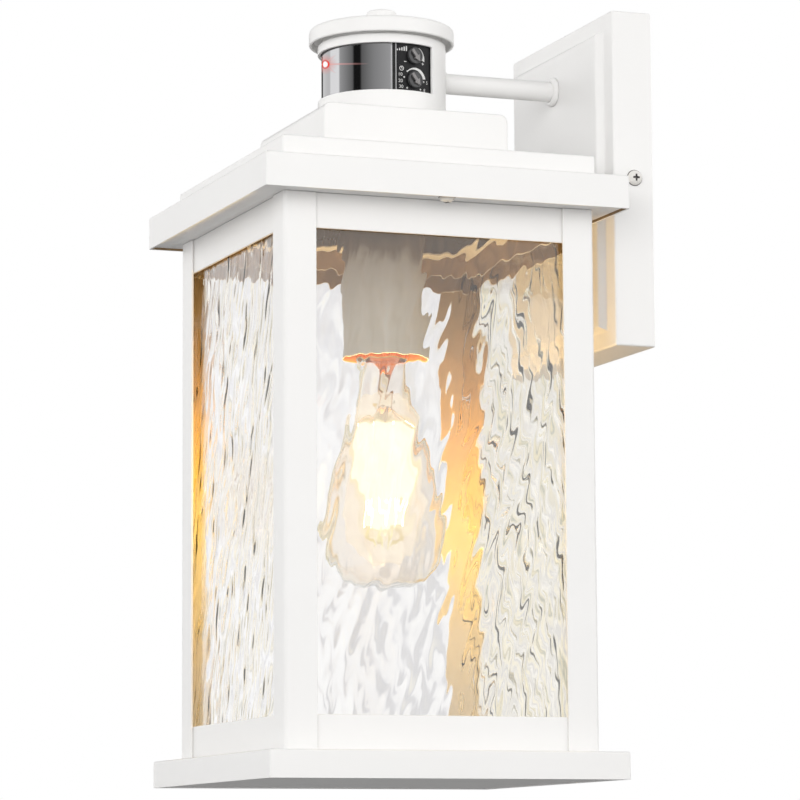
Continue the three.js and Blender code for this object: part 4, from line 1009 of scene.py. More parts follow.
class LANTERN_OT_sensor_window(bpy.types.Operator):
    """Dark lens, control panel with its markings, the two knobs and the indicator's flare"""

    bl_idname = "lantern.sensor_window"
    bl_label = "Sensor Window"

    def glazing(self, sensor):
        lo, hi = box_mm("sensor_lens")
        overlap = 3  # degrees that the lens and the panel reach behind the window's ends
        start, end = math.degrees(sensor.window_from) - overlap, math.degrees(sensor.window_to) + overlap
        split = math.degrees(sensor.panel_from)
        lens, panel = ("dark_lens", "sensor_lens"), ("panel_black", "control_panel")
        # name, slot and node, finish, how far it is set back, first and last degree, thickness, rounding
        strips = (
            ("sensor_lens_window", lens, lens_plastic, 0, start, split - 2, 1.4, 0.18),
            # lens_edge and panel_edge are grey strips of painted highlight on the lens's and the panel's
            # edges.
            ("lens_edge", lens, painted_edge_highlight, 0.15, split - 2, split - 0.5, 1.2, 0),
            ("panel_edge", panel, painted_edge_highlight, 0.15, split + 2.6, split + 3.5, 1.2, 0),
            ("panel_gasket", panel, black_gasket_and_shade, 0.5, split - 0.4, split + 2.6, 1.2, 0.15),
            ("control_panel_face", panel, panel_plastic, 0, split + 3.5, end, 2.0, 0.25),
        )
        for name, (slot, node), finish, set_back, first, last, sheet, edge in strips:
            strip = curved_strip(self.radius - set_back, lo.z, hi.z, first, last)
            add_piece(name, strip, "root", slot, finish(), node, sheet=sheet, edge=edge)

    def wrap(self, bm, azimuth, z):
        """Bends a flat drawing, in millimetres across and up, round the control panel."""
        film = 0.02
        lift = self.radius + film
        for vert in bm.verts:
            turn = math.radians(azimuth) + vert.co.x / lift
            r = lift + vert.co.z
            vert.co = (r * math.sin(turn) * MM, -r * math.cos(turn) * MM, (z + vert.co.y) * MM)
        return on_axis(bm)

    def wedge(self, bm, start, end, inner, narrow, wide):
        """A curved mark round a knob that widens from its start to its end."""
        verts, edges = line(bm, [(r, 0, 0) for r in (inner, inner + narrow)])
        bmesh.ops.rotate(bm, verts=verts, matrix=Matrix.Rotation(math.radians(start), 3, "Z"))
        before = set(bm.verts)
        bmesh.ops.spin(bm, geom=verts + edges, cent=(0, 0, 0), axis=(0, 0, 1),
                       angle=math.radians(end - start), steps=20)
        for vert in (set(bm.verts) - before) | set(verts):
            if vert.co.length > inner + narrow / 2:
                turn = math.degrees(math.atan2(vert.co.y, vert.co.x))
                share = ((turn - start) % -360 if end < start else (turn - start) % 360) / (end - start)
                vert.co *= (inner + narrow + (wide - narrow) * share) / vert.co.length

    def dot(self, bm, x, y, radius):
        bmesh.ops.create_circle(bm, cap_ends=True, radius=radius, segments=16,
                                matrix=Matrix.Translation((x, y, 0)))

    def bar(self, bm, x, y, width, height):
        size = Matrix.Diagonal((width, height, 1, 1))
        bmesh.ops.create_grid(bm, x_segments=1, y_segments=1, size=0.5,
                              matrix=Matrix.Translation((x, y, 0)) @ size)

    def numeral(self, bm, digits, x, y):
        curve = bpy.data.curves.new("numeral", "FONT")
        curve.body, curve.size, curve.align_x, curve.align_y = digits, 2.295, "CENTER", "CENTER"
        text = new_object("numeral", curve)
        bpy.context.view_layer.update()
        graph = bpy.context.evaluated_depsgraph_get()
        mesh = bpy.data.meshes.new_from_object(text.evaluated_get(graph))
        mesh.transform(Matrix.Translation((x, y, 0)))
        bm.from_mesh(mesh)
        bpy.data.objects.remove(text)
        bpy.data.meshes.remove(mesh)
        bpy.data.curves.remove(curve)

    def clock(self, bm, x, y):
        """A plain dial with two hands."""
        steps, radius, inner, stroke = 24, 1.15, 0.85, 0.28
        for i in range(steps):
            t, u = (math.tau * (i + step) / steps for step in (0, 1))
            corners = [(r * math.cos(a), r * math.sin(a)) for r, a in
                       ((radius, t), (radius, u), (inner, u), (inner, t))]
            bm.faces.new([bm.verts.new((x + dx, y + dy, 0)) for dx, dy in corners])
        self.bar(bm, x, y + radius * 0.35, stroke, radius * 0.7)
        self.bar(bm, x + radius * 0.3, y, radius * 0.6, stroke)

    def draw_sens(self, bm):
        """A wedge, a minus, a plus and five growing bars."""
        self.wedge(bm, 56, -19, 4.85, 0.3, 1.75)
        self.bar(bm, -4.7, -3.1, 1.4, 0.36)
        for width, height in ((1.3, 0.4), (0.4, 1.3)):
            self.bar(bm, 5.2, -3.2, width, height)
        for i in range(5):
            self.bar(bm, -8.7 + 1.15 * i, 2.5 + 0.2 * i, 0.6, 0.8 + 0.4 * i)

    def draw_time(self, bm):
        """A wedge, four dots, a clock and plain numerals."""
        self.wedge(bm, 137, 10, 5.1, 0.3, 2.0)
        for x, y in ((-5.3, 1.0), (-3.8, -4.1), (5.9, -0.2), (3.7, -4.2)):
            self.dot(bm, x, y, 0.45)
        self.clock(bm, -6.6, 5.2)
        for digits, x, y in (("10", -7.3, 2.2), ("20", -7.2, -0.9), ("30", -6.9, -3.7),
                             ("5", 8.0, -0.5), ("8", 6.2, -4.4)):
            self.numeral(bm, digits, x, y)

    def markings(self):
        """The printing round the two knobs."""
        for knob, draw in (("sens", self.draw_sens), ("time", self.draw_time)):
            bm = bmesh.new()
            draw(bm)
            bmesh.ops.remove_doubles(bm, verts=bm.verts, dist=0.001)
            bmesh.ops.recalc_face_normals(bm, faces=bm.faces)
            for face in bm.faces:
                if face.normal.z < 0:
                    face.normal_flip()
            z = middle(f"{knob}_knob").z / MM
            add_piece(f"{knob}_markings", self.wrap(bm, self.knob_azimuth, z), "root", "lead_white",
                      marking_ink(), sheet=0.03, sharp=60)

    def knob(self, node):
        lo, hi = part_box(node)
        turn = math.radians(self.knob_azimuth)
        out = Vector((math.sin(turn), -math.cos(turn), 0))
        gap = 0.3
        seat = out * (self.radius + gap) * MM + AXIS
        seat.z = (lo.z + hi.z) / 2
        radius, thick, rise, shaft, shaft_r, rim = (hi.z - lo.z) / 2 / MM, 1.5, 0.7, 7.0, 1.5, 0.35
        face_z, groove_shade_z = thick - 0.18, thick - 0.14
        section = [(0, -shaft), (shaft_r, -shaft), (shaft_r, 0), (radius - 0.1, 0), (radius, 0.1),
                   *arc(radius - rim, thick - rim, rim, 0, 90, 4), (radius - 0.75, thick),
                   (radius - 0.85, face_z), (0, face_z)]
        bm = spun(section, 64, closed=False)
        tip, barb, half = radius * 0.84, radius * 0.42, radius * 0.17
        tilt = Matrix.Rotation(math.radians(-52.5), 3, "Z")
        outline = [(-tip, -half), (barb * 0.3, -half), (barb * 0.3, -barb), (tip, 0), (barb * 0.3, barb),
                   (barb * 0.3, half), (-tip, half)]
        groove_shade = [(-tip * 0.9, -half - 1.25), (barb, -half - 1.25), (barb * 0.7, -half - 0.2),
                  (-tip, -half - 0.2)]
        face = bm.faces.new([bm.verts.new(tilt @ Vector((x, y, thick / 2)) * MM) for x, y in outline])
        made = bmesh.ops.extrude_face_region(bm, geom=[face])["geom"]
        top = only(made, bmesh.types.BMVert)
        bmesh.ops.translate(bm, vec=(0, 0, (thick / 2 + rise) * MM), verts=top)
        for face in {f for v in top for f in v.link_faces}:
            face.material_index = 1
        # A flat black sheet just above the face paints the shade of a groove beside the arrow.
        face = bm.faces.new([bm.verts.new(tilt @ Vector((x, y, groove_shade_z)) * MM) for x, y in groove_shade])
        face.material_index = 2
        bmesh.ops.recalc_face_normals(bm, faces=bm.faces)
        moved(bm, columns((math.cos(turn), math.sin(turn), 0), (0, 0, 1), out, seat))
        add_piece(f"{node}_dial", bm, body_of(node), "knob_black",
                  [knob_plastic(), arrow_plastic(), black_gasket_and_shade()], node, sharp=40)

    def flare(self):
        drop, lift, below, above = 2.7, 0.05, 6.3, 5.5
        left, right = -17, 66  # degrees that the haze and the streak reach to
        z = box_mm("indicator_led")[1].z - drop
        turn, radius = math.radians(0.5), self.radius + lift
        centre = (radius * math.sin(turn) * MM, AXIS.y - radius * math.cos(turn) * MM, z * MM)
        patch = curved_strip(radius, z - below, z + above, left, right, 1.0)
        glowing("indicator_flare", patch, "root", "led_red", indicator_glow(centre))

    def execute(self, context):
        self.radius = AXIS.y / MM - box_mm("sensor_lens")[0].y
        pot = middle("sens_knob") - AXIS
        self.knob_azimuth = math.degrees(math.atan2(pot.x, -pot.y))
        self.glazing(context.scene.lantern_sensor)
        self.markings()
        for node in ("sens_knob", "time_knob"):
            self.knob(node)
        self.flare()
        return {"FINISHED"}


# ---- Roof, cage and base ----------------------------------------------------------------------------


class LANTERN_OT_roof(bpy.types.Operator):
    """Three tiers of folded sheet"""

    bl_idname = "lantern.roof"
    bl_label = "Roof"

    def execute(self, context):
        lo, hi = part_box("roof_upper")
        bm = open_box(lo, hi, (0, 0, -1))
        tops = [e for e in bm.edges if all(v.co.z > hi.z - TINY for v in e.verts)
                and abs(e.verts[0].co.y - e.verts[1].co.y) < TINY]
        round_edges(bm, tops, 4 * MM, 8)
        round_edges(bm, folds(bm), 1.0 * MM, 3)
        painted("roof_upper_tier", bm, "root", "roof_upper", sheet=SHEET, edge=0.2)
        painted("roof_middle_tier", folded_tray("roof_middle"), "root", "roof_middle", sheet=SHEET, edge=0.25)
        # The roof's inner side takes painted shade and a painted glow of the bulb's light.
        painted("roof_main_tier", folded_tray("roof_main"), "root", "roof_main", roof_painted_shade(),
                sheet=SHEET, edge=0.25, lined=True)
        for side in ("right", "left"):
            refined(f"screw_boss_{side}", f"screw_boss_{side}_tab", "white_paint", white_paint(), edge=0.25)
        return {"FINISHED"}


class LANTERN_OT_cage(bpy.types.Operator):
    """Soffit plate, corner posts and the two frames that hold the panes"""

    bl_idname = "lantern.cage"
    bl_label = "Cage"

    def post(self, node):
        lo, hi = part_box(node)
        side = (lo + hi) / 2 - AXIS
        near, far = Vector(lo), Vector(hi)
        for i in (0, 1):
            if side[i] < 0:
                near[i], far[i] = hi[i], lo[i]
        bm = bmesh.new()
        edges = line(bm, [(near.x, far.y, lo.z), (far.x, far.y, lo.z), (far.x, near.y, lo.z)])[1]
        bmesh.ops.translate(bm, vec=(0, 0, hi.z - lo.z), verts=drawn_out(bm, edges)[0])
        bm.normal_update()
        if sum(face.normal.dot(side) for face in bm.faces) < 0:
            bmesh.ops.reverse_faces(bm, faces=bm.faces)
        round_edges(bm, folds(bm), 2 * MM, 6)
        # The inner side takes the painted light and shade of the bulb.
        painted(f"{node}_angle", bm, "cage", node, post_painted_light(lo.z + 12 * MM, hi.z), sheet=SHEET, edge=0.3,
                lined=True)

    def rails(self, node, web, edge):
        """A frame of folded strip: a level web, a flange out to an edge, and a lip that holds the panes."""
        lo, hi = box_mm(node)
        rail, lip = (hi.x - lo.x) / 2, box_mm("glass_right")[0].x - 0.3
        way = 1 if edge > web else -1
        inner, top = web + way * SHEET, web + way * 10
        section = [(lip - SHEET, web), (rail, web), (rail, edge), (rail - SHEET, edge), (rail - SHEET, inner),
                   (lip, inner), (lip, top), (lip - SHEET, top)]
        ring = square_ring(section)
        # Inner faces of the top frame take painted shade with a painted glow of the bulb's light.
        for face in ring.faces:
            reach = face.calc_center_median() - AXIS
            face.material_index = int(way < 0 and face.normal.dot(Vector((*reach.xy, 0))) < -TINY)
        painted(f"{node}_rails", ring, "cage", node, frame_painted_shade(), edge=0.3)

    def execute(self, context):
        for corner in ("back_right", "back_left", "front_left", "front_right"):
            self.post(f"corner_post_{corner}")
        lo, hi = box_mm("top_frame")
        self.rails("top_frame", hi.z, lo.z)
        lo, hi = box_mm("bottom_frame")
        self.rails("bottom_frame", lo.z, hi.z)
        lo, hi = box_mm("soffit_plate")
        half, hole = (hi.x - lo.x) / 2, 61.3
        ring = square_ring([(hole, lo.z), (half, lo.z), (half, hi.z), (hole, hi.z)])
        painted("soffit_plate_sheet", ring, "cage", "soffit_plate", edge=0.3)
        return {"FINISHED"}


class LANTERN_OT_glass(bpy.types.Operator):
    """Four panes, rippled outside and flat inside"""

    bl_idname = "lantern.glass"
    bl_label = "Rippled Panes"

    def relief(self, settings, u, v, seed):
        """Height of the ripples at a place on the pane, from -1 to 1."""
        x = (u - v * math.tan(settings.lean)) / settings.drop_width
        y = v / settings.drop_length
        wander = noise.noise(Vector((x * 0.3, y * 0.9, seed + 11.3)))
        broad = noise.noise(Vector((x + 0.9 * wander, y, seed)))
        fine = noise.noise(Vector((x * 2.1 + wander, y * 2.3, seed + 47.7)))
        return 0.8 * broad + 0.2 * fine

    def pane(self, settings, node, out, depth, finish, seed):
        lo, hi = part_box(node)
        out, up = Vector(out), Vector((0, 0, 1))
        right = up.cross(out)
        size = hi - lo
        width, height, thick = abs(size.dot(right)), size.z, abs(size.dot(out))
        bm = bmesh.new()
        across, along = round(width / (0.78 * MM)), round(height / (1.5 * MM))
        bmesh.ops.create_grid(bm, x_segments=across, y_segments=along, size=0.5,
                              matrix=Matrix.Diagonal((width, height, 1, 1)))
        level = thick / 2 - depth
        for vert in bm.verts:
            rise = self.relief(settings, vert.co.x, vert.co.y, seed)
            vert.co.z = level + max(-1.0, min(1.0, rise)) * depth
        bm.normal_update()
        if sum(f.normal.z for f in bm.faces[:50]) < 0:
            bmesh.ops.reverse_faces(bm, faces=bm.faces)
        verts, edges = drawn_out(bm, [e for e in bm.edges if e.is_boundary])
        for vert in verts:
            vert.co.z = -thick / 2
        bmesh.ops.holes_fill(bm, edges=edges, sides=0)
        bmesh.ops.recalc_face_normals(bm, faces=bm.faces)
        moved(bm, columns(right, up, out, (lo + hi) / 2))
        add_piece(f"{node}_rippled", bm, "cage", "ripple_glass", finish, node, sharp=35,
                  shadow=False)

    def glints(self):
        """The bulb's mirror image in the front end of the left pane."""
        lo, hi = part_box("glass_left")
        low, high = (corner.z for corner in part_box("bulb_filament"))
        gap, inset, drop = 0.4 * MM, 2 * MM, 5 * MM
        half_width, half_height = 26 * MM, (high - low) / 2 + 2 * MM
        centre = Vector((hi.x + gap, lo.y + inset + half_width, (low + high) / 2 - drop))
        bm = bmesh.new()
        bm.faces.new([bm.verts.new(centre + Vector((0, side * half_width, up * half_height)))
                      for side, up in ((-1, -1), (1, -1), (1, 1), (-1, 1))])
        glowing("bulb_glints", bm, "cage", "ripple_glass", caught_light(centre, half_width, half_height),
                sharp=180)

    def execute(self, context):
        settings = context.scene.lantern_glass
        panes = (
            # Front and back panes take tints of painted shade and painted warm light.
            ("front", (0, -1, 0), 1.8, "ripple_glass_front", settings.front_shaded_colour),
            ("right", (1, 0, 0), 1.0, "ripple_glass", settings.colour),
            ("back", (0, 1, 0), 1.8, "ripple_glass_back", settings.back_warm_lit_colour),
            ("left", (-1, 0, 0), 1.0, "ripple_glass", settings.colour),
        )
        for i, (side, out, strength, finish, colour) in enumerate(panes):
            self.pane(settings, f"glass_{side}", out, settings.depth * strength, ripple_glass(finish, colour),
                      3.7 + 29.3 * i)
        self.glints()
        return {"FINISHED"}


class LANTERN_OT_base(bpy.types.Operator):
    """Base tray and the plate that closes it"""

    bl_idname = "lantern.base"
    bl_label = "Base"

    def execute(self, context):
        painted("base_tray_folded", folded_tray("base_tray"), "cage", "base_tray", sheet=SHEET, edge=0.3)
        refined("base_plate", "base_plate_sheet", "white_paint", white_paint())
        return {"FINISHED"}


# ---- Lampholder and bulb ----------------------------------------------------------------------------


def thread(bm, least, depth, low, high, inward=False):
    """Waves the walls beyond a radius into a thread, between two heights in millimetres."""
    pitch, run_out = 3.63, 1.2
    for vert in bm.verts:
        r = Vector(vert.co.xy).length / MM
        z = vert.co.z / MM
        if r < least or not low < z < high:
            continue
        fade = min(1.0, (z - low) / run_out, (high - z) / run_out)
        wave = 0.5 - 0.5 * math.cos(math.tau * z / pitch - math.atan2(vert.co.y, vert.co.x))
        vert.co.xy *= (r - depth * fade * (wave if inward else 1 - wave)) / r


class LANTERN_OT_socket(bpy.types.Operator):
    """Sleeve, lampholder and threaded shell"""

    bl_idname = "lantern.socket"
    bl_label = "Lampholder"

    def sleeve(self):
        lo, hi = box_mm("socket_sleeve")
        outer, wall, chamfer, lip = (hi.x - lo.x) / 2, SHEET, 0.9, 0.18
        inner = outer - wall
        bm = spun([(0, hi.z), (outer - chamfer, hi.z), (outer, hi.z - chamfer), (outer, lo.z + 0.5),
                   (outer - lip, lo.z + 0.12), (outer - wall / 2, lo.z), (inner + lip, lo.z + 0.12),
                   (inner, lo.z + 0.5), (inner, hi.z - wall), (0, hi.z - wall)], 96, closed=False)
        # Inner faces take the inside finish, painted orange for the bulb's light.
        for face in bm.faces:
            centre = face.calc_center_median() / MM
            face.material_index = int(centre.xy.length < outer - wall / 2 and centre.z < hi.z - 0.5)
        # The coat's darkening between these heights is painted shade.
        low, high = -42 * MM, -28 * MM  # the heights between which the coat darkens
        add_piece("socket_sleeve_tube", on_axis(bm), "root", "sleeve_paint",
                  [sleeve_paint(low, high), sleeve_inside_painted_light()], "socket_sleeve")
        mouth = lo.z + 1.5
        disc = spun([(0, mouth), (inner - 0.1, mouth)], 48, closed=False)
        glow = lit_material("sleeve_mouth_glow", (0.88, 0.20, 0.03), 0.95, cover=0.86, wander=0.7)
        add_piece("sleeve_mouth_glow", on_axis(disc), "root", "filament", glow, sharp=180, shadow=False)

    def holder(self):
        lo, hi = box_mm("lampholder")
        shell_lo, shell_hi = box_mm("screw_shell")
        outer, bore = (hi.x - lo.x) / 2, (shell_hi.x - shell_lo.x) / 2 + 0.1
        neck, contact_r, chamfer, curve = 11.5, 4.2, 0.8, 1.5
        shoulder, contact = shell_hi.z + 6, box_mm("bulb_contact")[1].z + 0.3
        section = [(0, contact), (contact_r, contact), (contact_r, shell_hi.z + 0.1),
                   (bore, shell_hi.z + 0.1), (bore, lo.z + 0.3), (bore + 0.3, lo.z),
                   (outer - chamfer, lo.z), (outer, lo.z + chamfer),
                   *arc(outer - curve, shoulder - curve, curve, 0, 90, 4), (neck + chamfer, shoulder),
                   (neck, shoulder + chamfer), (neck, hi.z - chamfer), (neck - chamfer, hi.z), (0, hi.z)]
        add_piece("lampholder_porcelain", on_axis(spun(section, 64, closed=False)), "root", "porcelain",
                  porcelain_glaze(), "lampholder")

    def shell(self):
        lo, hi = box_mm("screw_shell")
        radius, wall, hole, rows = (hi.x - lo.x) / 2, 0.6, 4.5, 44
        rim = hi.z - wall
        inside = [(radius - wall, lo.z + (rim - lo.z) * i / rows) for i in range(rows + 1)]
        outside = [(radius, z) for r, z in inside[:-1]]
        section = [(hole, hi.z), (hole, rim), *reversed(inside), *outside, (radius, hi.z)]
        bm = spun(section, 64)
        thread(bm, radius - 0.9, 0.28, lo.z + 1.5, hi.z - 2, inward=True)
        add_piece("screw_shell_threaded", on_axis(bm), "root", "brass", brass_shell(), "screw_shell")

    def execute(self, context):
        self.sleeve()
        self.holder()
        self.shell()
        zinc_copy("lampholder_strap", "bent", edge=0.35)
        return {"FINISHED"}


class LANTERN_OT_bulb(bpy.types.Operator):
    """Glass bulb with its cap, contact, stem and glowing filament"""

    bl_idname = "lantern.bulb"
    bl_label = "Bulb"

    def outline(self):
        """The glass from tip to neck, as [radius, z] points in millimetres."""
        lo, hi = box_mm("bulb_envelope")
        widest, length = (hi.x - lo.x) / 2, box_mm("bulb_cap")[0].z - lo.z
        shares = [(0.0, 0.0), (0.3, 0.004), (0.55, 0.02), (0.84, 0.075), (0.97, 0.155), (1.0, 0.25),
                  (0.93, 0.37), (0.79, 0.51), (0.63, 0.67), (0.5, 0.82), (0.42, 0.92), (0.375, 0.985)]
        points = [Vector((r * widest, lo.z + h * length)) for r, h in shares]
        smooth = [points[0]]
        padded = [Vector((-points[1].x, points[1].y)), *points, points[-1] * 2 - points[-2]]
        for a, b, c, d in zip(padded, padded[1:], padded[2:], padded[3:]):
            for t in (0.2, 0.4, 0.6, 0.8, 1.0):
                smooth.append(0.5 * (2 * b + (c - a) * t + (2 * a - 5 * b + 4 * c - d) * t * t
                                     + (3 * b - a - 3 * c + d) * t * t * t))
        return [(p.x, p.y) for p in smooth]

    def reach(self, height):
        """Radius of the glass at a height, in millimetres."""
        points = self.outline()
        for (r, z), (wider, above) in zip(points, points[1:]):
            if z <= height <= above:
                return r + (wider - r) * (height - z) / max(above - z, 0.001)
        return points[-1][0]

    def envelope(self):
        neck, gap = 11.7, 0.2
        cap_low, top = box_mm("bulb_cap")[0].z, box_mm("bulb_envelope")[1].z
        section = self.outline() + [(neck, cap_low - gap), (neck, top)]
        add_piece("bulb_envelope_glass", on_axis(spun(section, 96, closed=False)), "bulb", "bulb_glass",
                  bulb_glass(), "bulb_envelope", sharp=60, sheet=0.9, shadow=False)

    def strands(self, count):
        """White-hot strands that zigzag between a wide ring above and a narrow one below."""
        bm = bmesh.new()
        ring = (self.upper, self.top), (self.lower, self.bottom)
        for i in range(count):
            ends = ring if i % 2 == 0 else ring[::-1]
            start, end = (polar(math.tau * (i + step) / count, *ends[step]) for step in (0, 1))
            rod_between(bm, start, end, 0.42)
        strands = add_piece("filament_strands", on_axis(bm), "bulb", "filament",
                            lit_material("filament_white_hot", (1.0, 0.66, 0.28), 34.0), "bulb_filament",
                            sharp=60)
        strands.visible_diffuse = False

    def supports(self):
        """Wires from the stem to both rings of the filament, and four leads up the stem."""
        bm = bmesh.new()
        for i in range(8):
            turn = math.tau * (i + 0.5) / 8
            rod_between(bm, polar(turn, 1.2, self.top + 9), polar(turn, self.upper, self.top), 0.26, 6)
            rod_between(bm, polar(turn, 1.2, self.bottom + 3), polar(turn, self.lower, self.bottom), 0.26, 6)
            if i % 2 == 0:
                rod_between(bm, polar(turn, 2.6, self.top + 8), polar(turn, 4.6, self.top + 27), 0.3, 6)
        add_piece("filament_supports", on_axis(bm), "bulb", "zinc_steel", support_wire(), sharp=60)

    def painted_glints(self):
        """Short bright bits round the filament's upper ring and the foot of the stem: painted glints of its
        light.
        """
        bm = bmesh.new()
        draw = random.Random(7)
        for i in range(64):
            turn, r = draw.uniform(0, math.tau), draw.uniform(2.0, 14.5)
            z = self.top + draw.uniform(-2.0, 3.0) + max(0.0, 9.0 - r) * draw.uniform(0.0, 2.0)
            start = polar(turn, r, z)
            way = Vector([draw.uniform(-1, 1) for axis in range(3)]).normalized()
            rod_between(bm, start, start + way * draw.uniform(1.0, 2.4), draw.uniform(0.3, 0.65), 5)
        glowing("filament_painted_glints", on_axis(bm), "bulb", "filament",
                lit_material("filament_painted_glints", (0.62, 0.36, 0.09), 1.0, wander=1.8), sharp=60)

    def loops(self):
        """Six ends of gold wire that hang below the filament, their brightness a painted glow of its light.
        """
        bm = bmesh.new()
        for i in range(6):
            turn = math.tau * (i + 0.25) / 6
            bend = polar(turn, 7.2, self.bottom - 5)
            rod_between(bm, polar(turn, 6.5, self.bottom), bend, 0.5, 6)
            rod_between(bm, bend, polar(turn, 4.0, self.bottom - 8 - i % 3), 0.5, 6)
        glowing("filament_loops", on_axis(bm), "bulb", "filament",
                lit_material("filament_gold", (0.95, 0.66, 0.26), 1.15, wander=1.0), sharp=60)

    def glow(self):
        """Shells of light round the filament, each wider and fainter, and held inside the glass."""
        top, bottom, height, wall = self.top, self.bottom, self.top - self.bottom, 0.9
        # how far a shell stands off the filament, its colour, strength and cover, and how flat its ends are
        shells = ((0.7, (1.0, 0.985, 0.92), 2.2, 0.96, 0.45), (2.4, (1.0, 0.86, 0.45), 1.15, 0.5, 0.45),
                  (6.0, (1.0, 0.84, 0.50), 1.05, 0.28, 0.6), (12.0, (1.0, 0.84, 0.66), 1.06, 0.4, 0.9))
        for i, (grow, colour, strength, cover, squeeze) in enumerate(shells, 1):
            upper, lower, rise = self.upper + grow, self.lower + grow, grow * squeeze
            section = [(0, bottom - rise * 1.6), (lower * 0.6, bottom - rise * 1.2),
                       (lower * 0.95, bottom + height * 0.06), (lower * 0.93, bottom + height * 0.2),
                       (upper * 1.05, top - height * 0.08), (upper * 0.6, top + rise), (0, top + rise * 1.3)]
            section = [(max(0.0, min(r, 0.94 * self.reach(z) - wall)), z) for r, z in section]
            halo = spun(section, 48, closed=False)
            bmesh.ops.subdivide_edges(halo, edges=halo.edges, cuts=1, use_grid_fill=True, smooth=1.0)
            name = f"filament_glow_{i}"
            add_piece(name, on_axis(halo), "bulb", "filament", lit_material(name, colour, strength, cover),
                      sharp=180, shadow=False)

    def cap(self):
        lo, hi = box_mm("bulb_cap")
        radius, inner, step, rows = (hi.x - lo.x) / 2, 11.8, 0.7, 56
        plug = box_mm("bulb_envelope")[1].z + 0.3
        shoulder = hi.z - 3.5
        wall = [(radius, lo.z + 0.4 + (shoulder - 0.6 - lo.z) * i / rows) for i in range(rows + 1)]
        section = [(0, plug), (inner, plug), (inner, lo.z), (radius - step, lo.z), *wall,
                   (radius - 0.5, shoulder + 0.3), (5.6, hi.z - 0.2), (5.2, hi.z), (0, hi.z)]
        bm = spun(section, 72, closed=False)
        thread(bm, radius - 0.6, 0.5, lo.z + 2, shoulder - 0.5)
        add_piece("bulb_cap_threaded", on_axis(bm), "bulb", "brass", brass_shell(), "bulb_cap")

    def contact(self):
        lo, hi = box_mm("bulb_contact")
        radius, rim = (hi.x - lo.x) / 2, lo.z + 0.5
        dome = [(r, min(z, hi.z)) for r, z in arc(radius * 0.45, rim, radius * 0.55, 20, 80, 3)]
        bm = spun([(0, lo.z), (radius, lo.z), (radius, rim), *dome, (0, hi.z)], 48, closed=False)
        add_piece("bulb_contact_solder", on_axis(bm), "bulb_carrier", "zinc_steel", zinc_steel(),
                  "bulb_contact")

    def stem(self):
        lo, hi = box_mm("bulb_stem")
        waist = box_mm("bulb_filament")[1].z + 2
        flare = (hi.x - lo.x) / 2
        section = [(0, lo.z), (1.5, lo.z + 0.2), (2.2, lo.z + 1.6), (1.6, lo.z + 3), (1.3, waist - 4),
                   (1.9, waist), (2.1, waist + 5), (2.6, waist + 14), (4.2, hi.z - 14), (6.4, hi.z - 8),
                   (9.2, hi.z - 3.6), (flare, hi.z - 1.5), (flare, hi.z), (0, hi.z)]
        add_piece("bulb_stem_glass", on_axis(spun(section, 40, closed=False)), "bulb", "bulb_glass",
                  bulb_glass(), "bulb_stem", sharp=60, shadow=False)

    def light(self, settings):
        lamp = bpy.data.lights.new("bulb_light", "POINT")
        lamp.color, lamp.energy, lamp.shadow_soft_size = settings.glow, settings.power, 14 * MM
        light = new_object("bulb_light", lamp)
        light.location = middle("bulb_filament")
        light.visible_transmission = light.visible_glossy = False

    def execute(self, context):
        settings = context.scene.lantern_bulb
        lo, hi = box_mm("bulb_filament")
        margin = 0.7
        self.top, self.bottom = hi.z - margin, lo.z + margin
        self.upper, self.lower = 13.0, 8.0
        self.envelope()
        self.cap()
        self.contact()
        self.stem()
        self.strands(settings.strands)
        self.supports()
        self.painted_glints()
        self.loops()
        self.glow()
        self.light(settings)
        return {"FINISHED"}


# ---- Fasteners and what lies inside -----------------------------------------------------------------


class LANTERN_OT_fasteners(bpy.types.Operator):
    """Cross-head screws of the wall plate, the earth terminal and the soffit"""

    bl_idname = "lantern.fasteners"
    bl_label = "Fasteners"

    def execute(self, context):
        plate_lo, plate_hi = box_mm("wall_plate")
        gap, bracket_face = 0.1, -1.9
        under = box_mm("soffit_plate")[0].z - gap
        cross_screw("side_screw_right", "zinc_steel", screw_enamel(), (1, 0, 0), plate_hi.x + gap)
        cross_screw("side_screw_left", "zinc_steel", screw_enamel(), (-1, 0, 0), plate_lo.x - gap)
        cross_screw("ground_screw", "earth_screw_green", earth_green(), (0, -1, 0), bracket_face)
        for side in ("right", "left"):
            cross_screw(f"soffit_screw_{side}", "zinc_steel", screw_enamel(), (0, 0, -1), under)
        return {"FINISHED"}


class LANTERN_OT_hidden_parts(bpy.types.Operator):
    """Electronics, wiring, rod and nuts inside the head, roof and wall plate"""

    bl_idname = "lantern.hidden_parts"
    bl_label = "Hidden Parts"

    def execute(self, context):
        for node in ("rod_nut_upper", "rod_nut_lower"):
            zinc_copy(node, "hex")
        zinc_copy("centre_rod", "bar", edge=0.0, sharp=50)
        refined("sensor_board", "sensor_board_laminate", "circuit_board", circuit_laminate(), edge=0.15)
        for node in ("sens_pot", "time_pot", "relay"):
            refined(node, f"{node}_moulded", "component_blue", component_blue())
        zinc_copy("pir_sensor", "can", edge=0.2)
        refined("indicator_led", "indicator_led_lit", "led_red",
                lit_material("indicator_lit", (1.0, 0.08, 0.05), 3.0), edge=0.0, sharp=50)
        colours = {"black": (0.012, 0.012, 0.012), "white": (0.78, 0.78, 0.76), "green": (0.05, 0.28, 0.09)}
        leads = {"live": "black", "neutral": "white", "earth": "green",
                 "lamp_live": "black", "lamp_neutral": "white"}
        for lead, colour in leads.items():
            slot = f"lead_{colour}"
            finish = insulation(f"{slot}_insulation", colours[colour])
            refined(f"{lead}_lead", f"{lead}_lead_wire", slot, finish, edge=0.0, sharp=70)
        return {"FINISHED"}


# ---- Stage ------------------------------------------------------------------------------------------

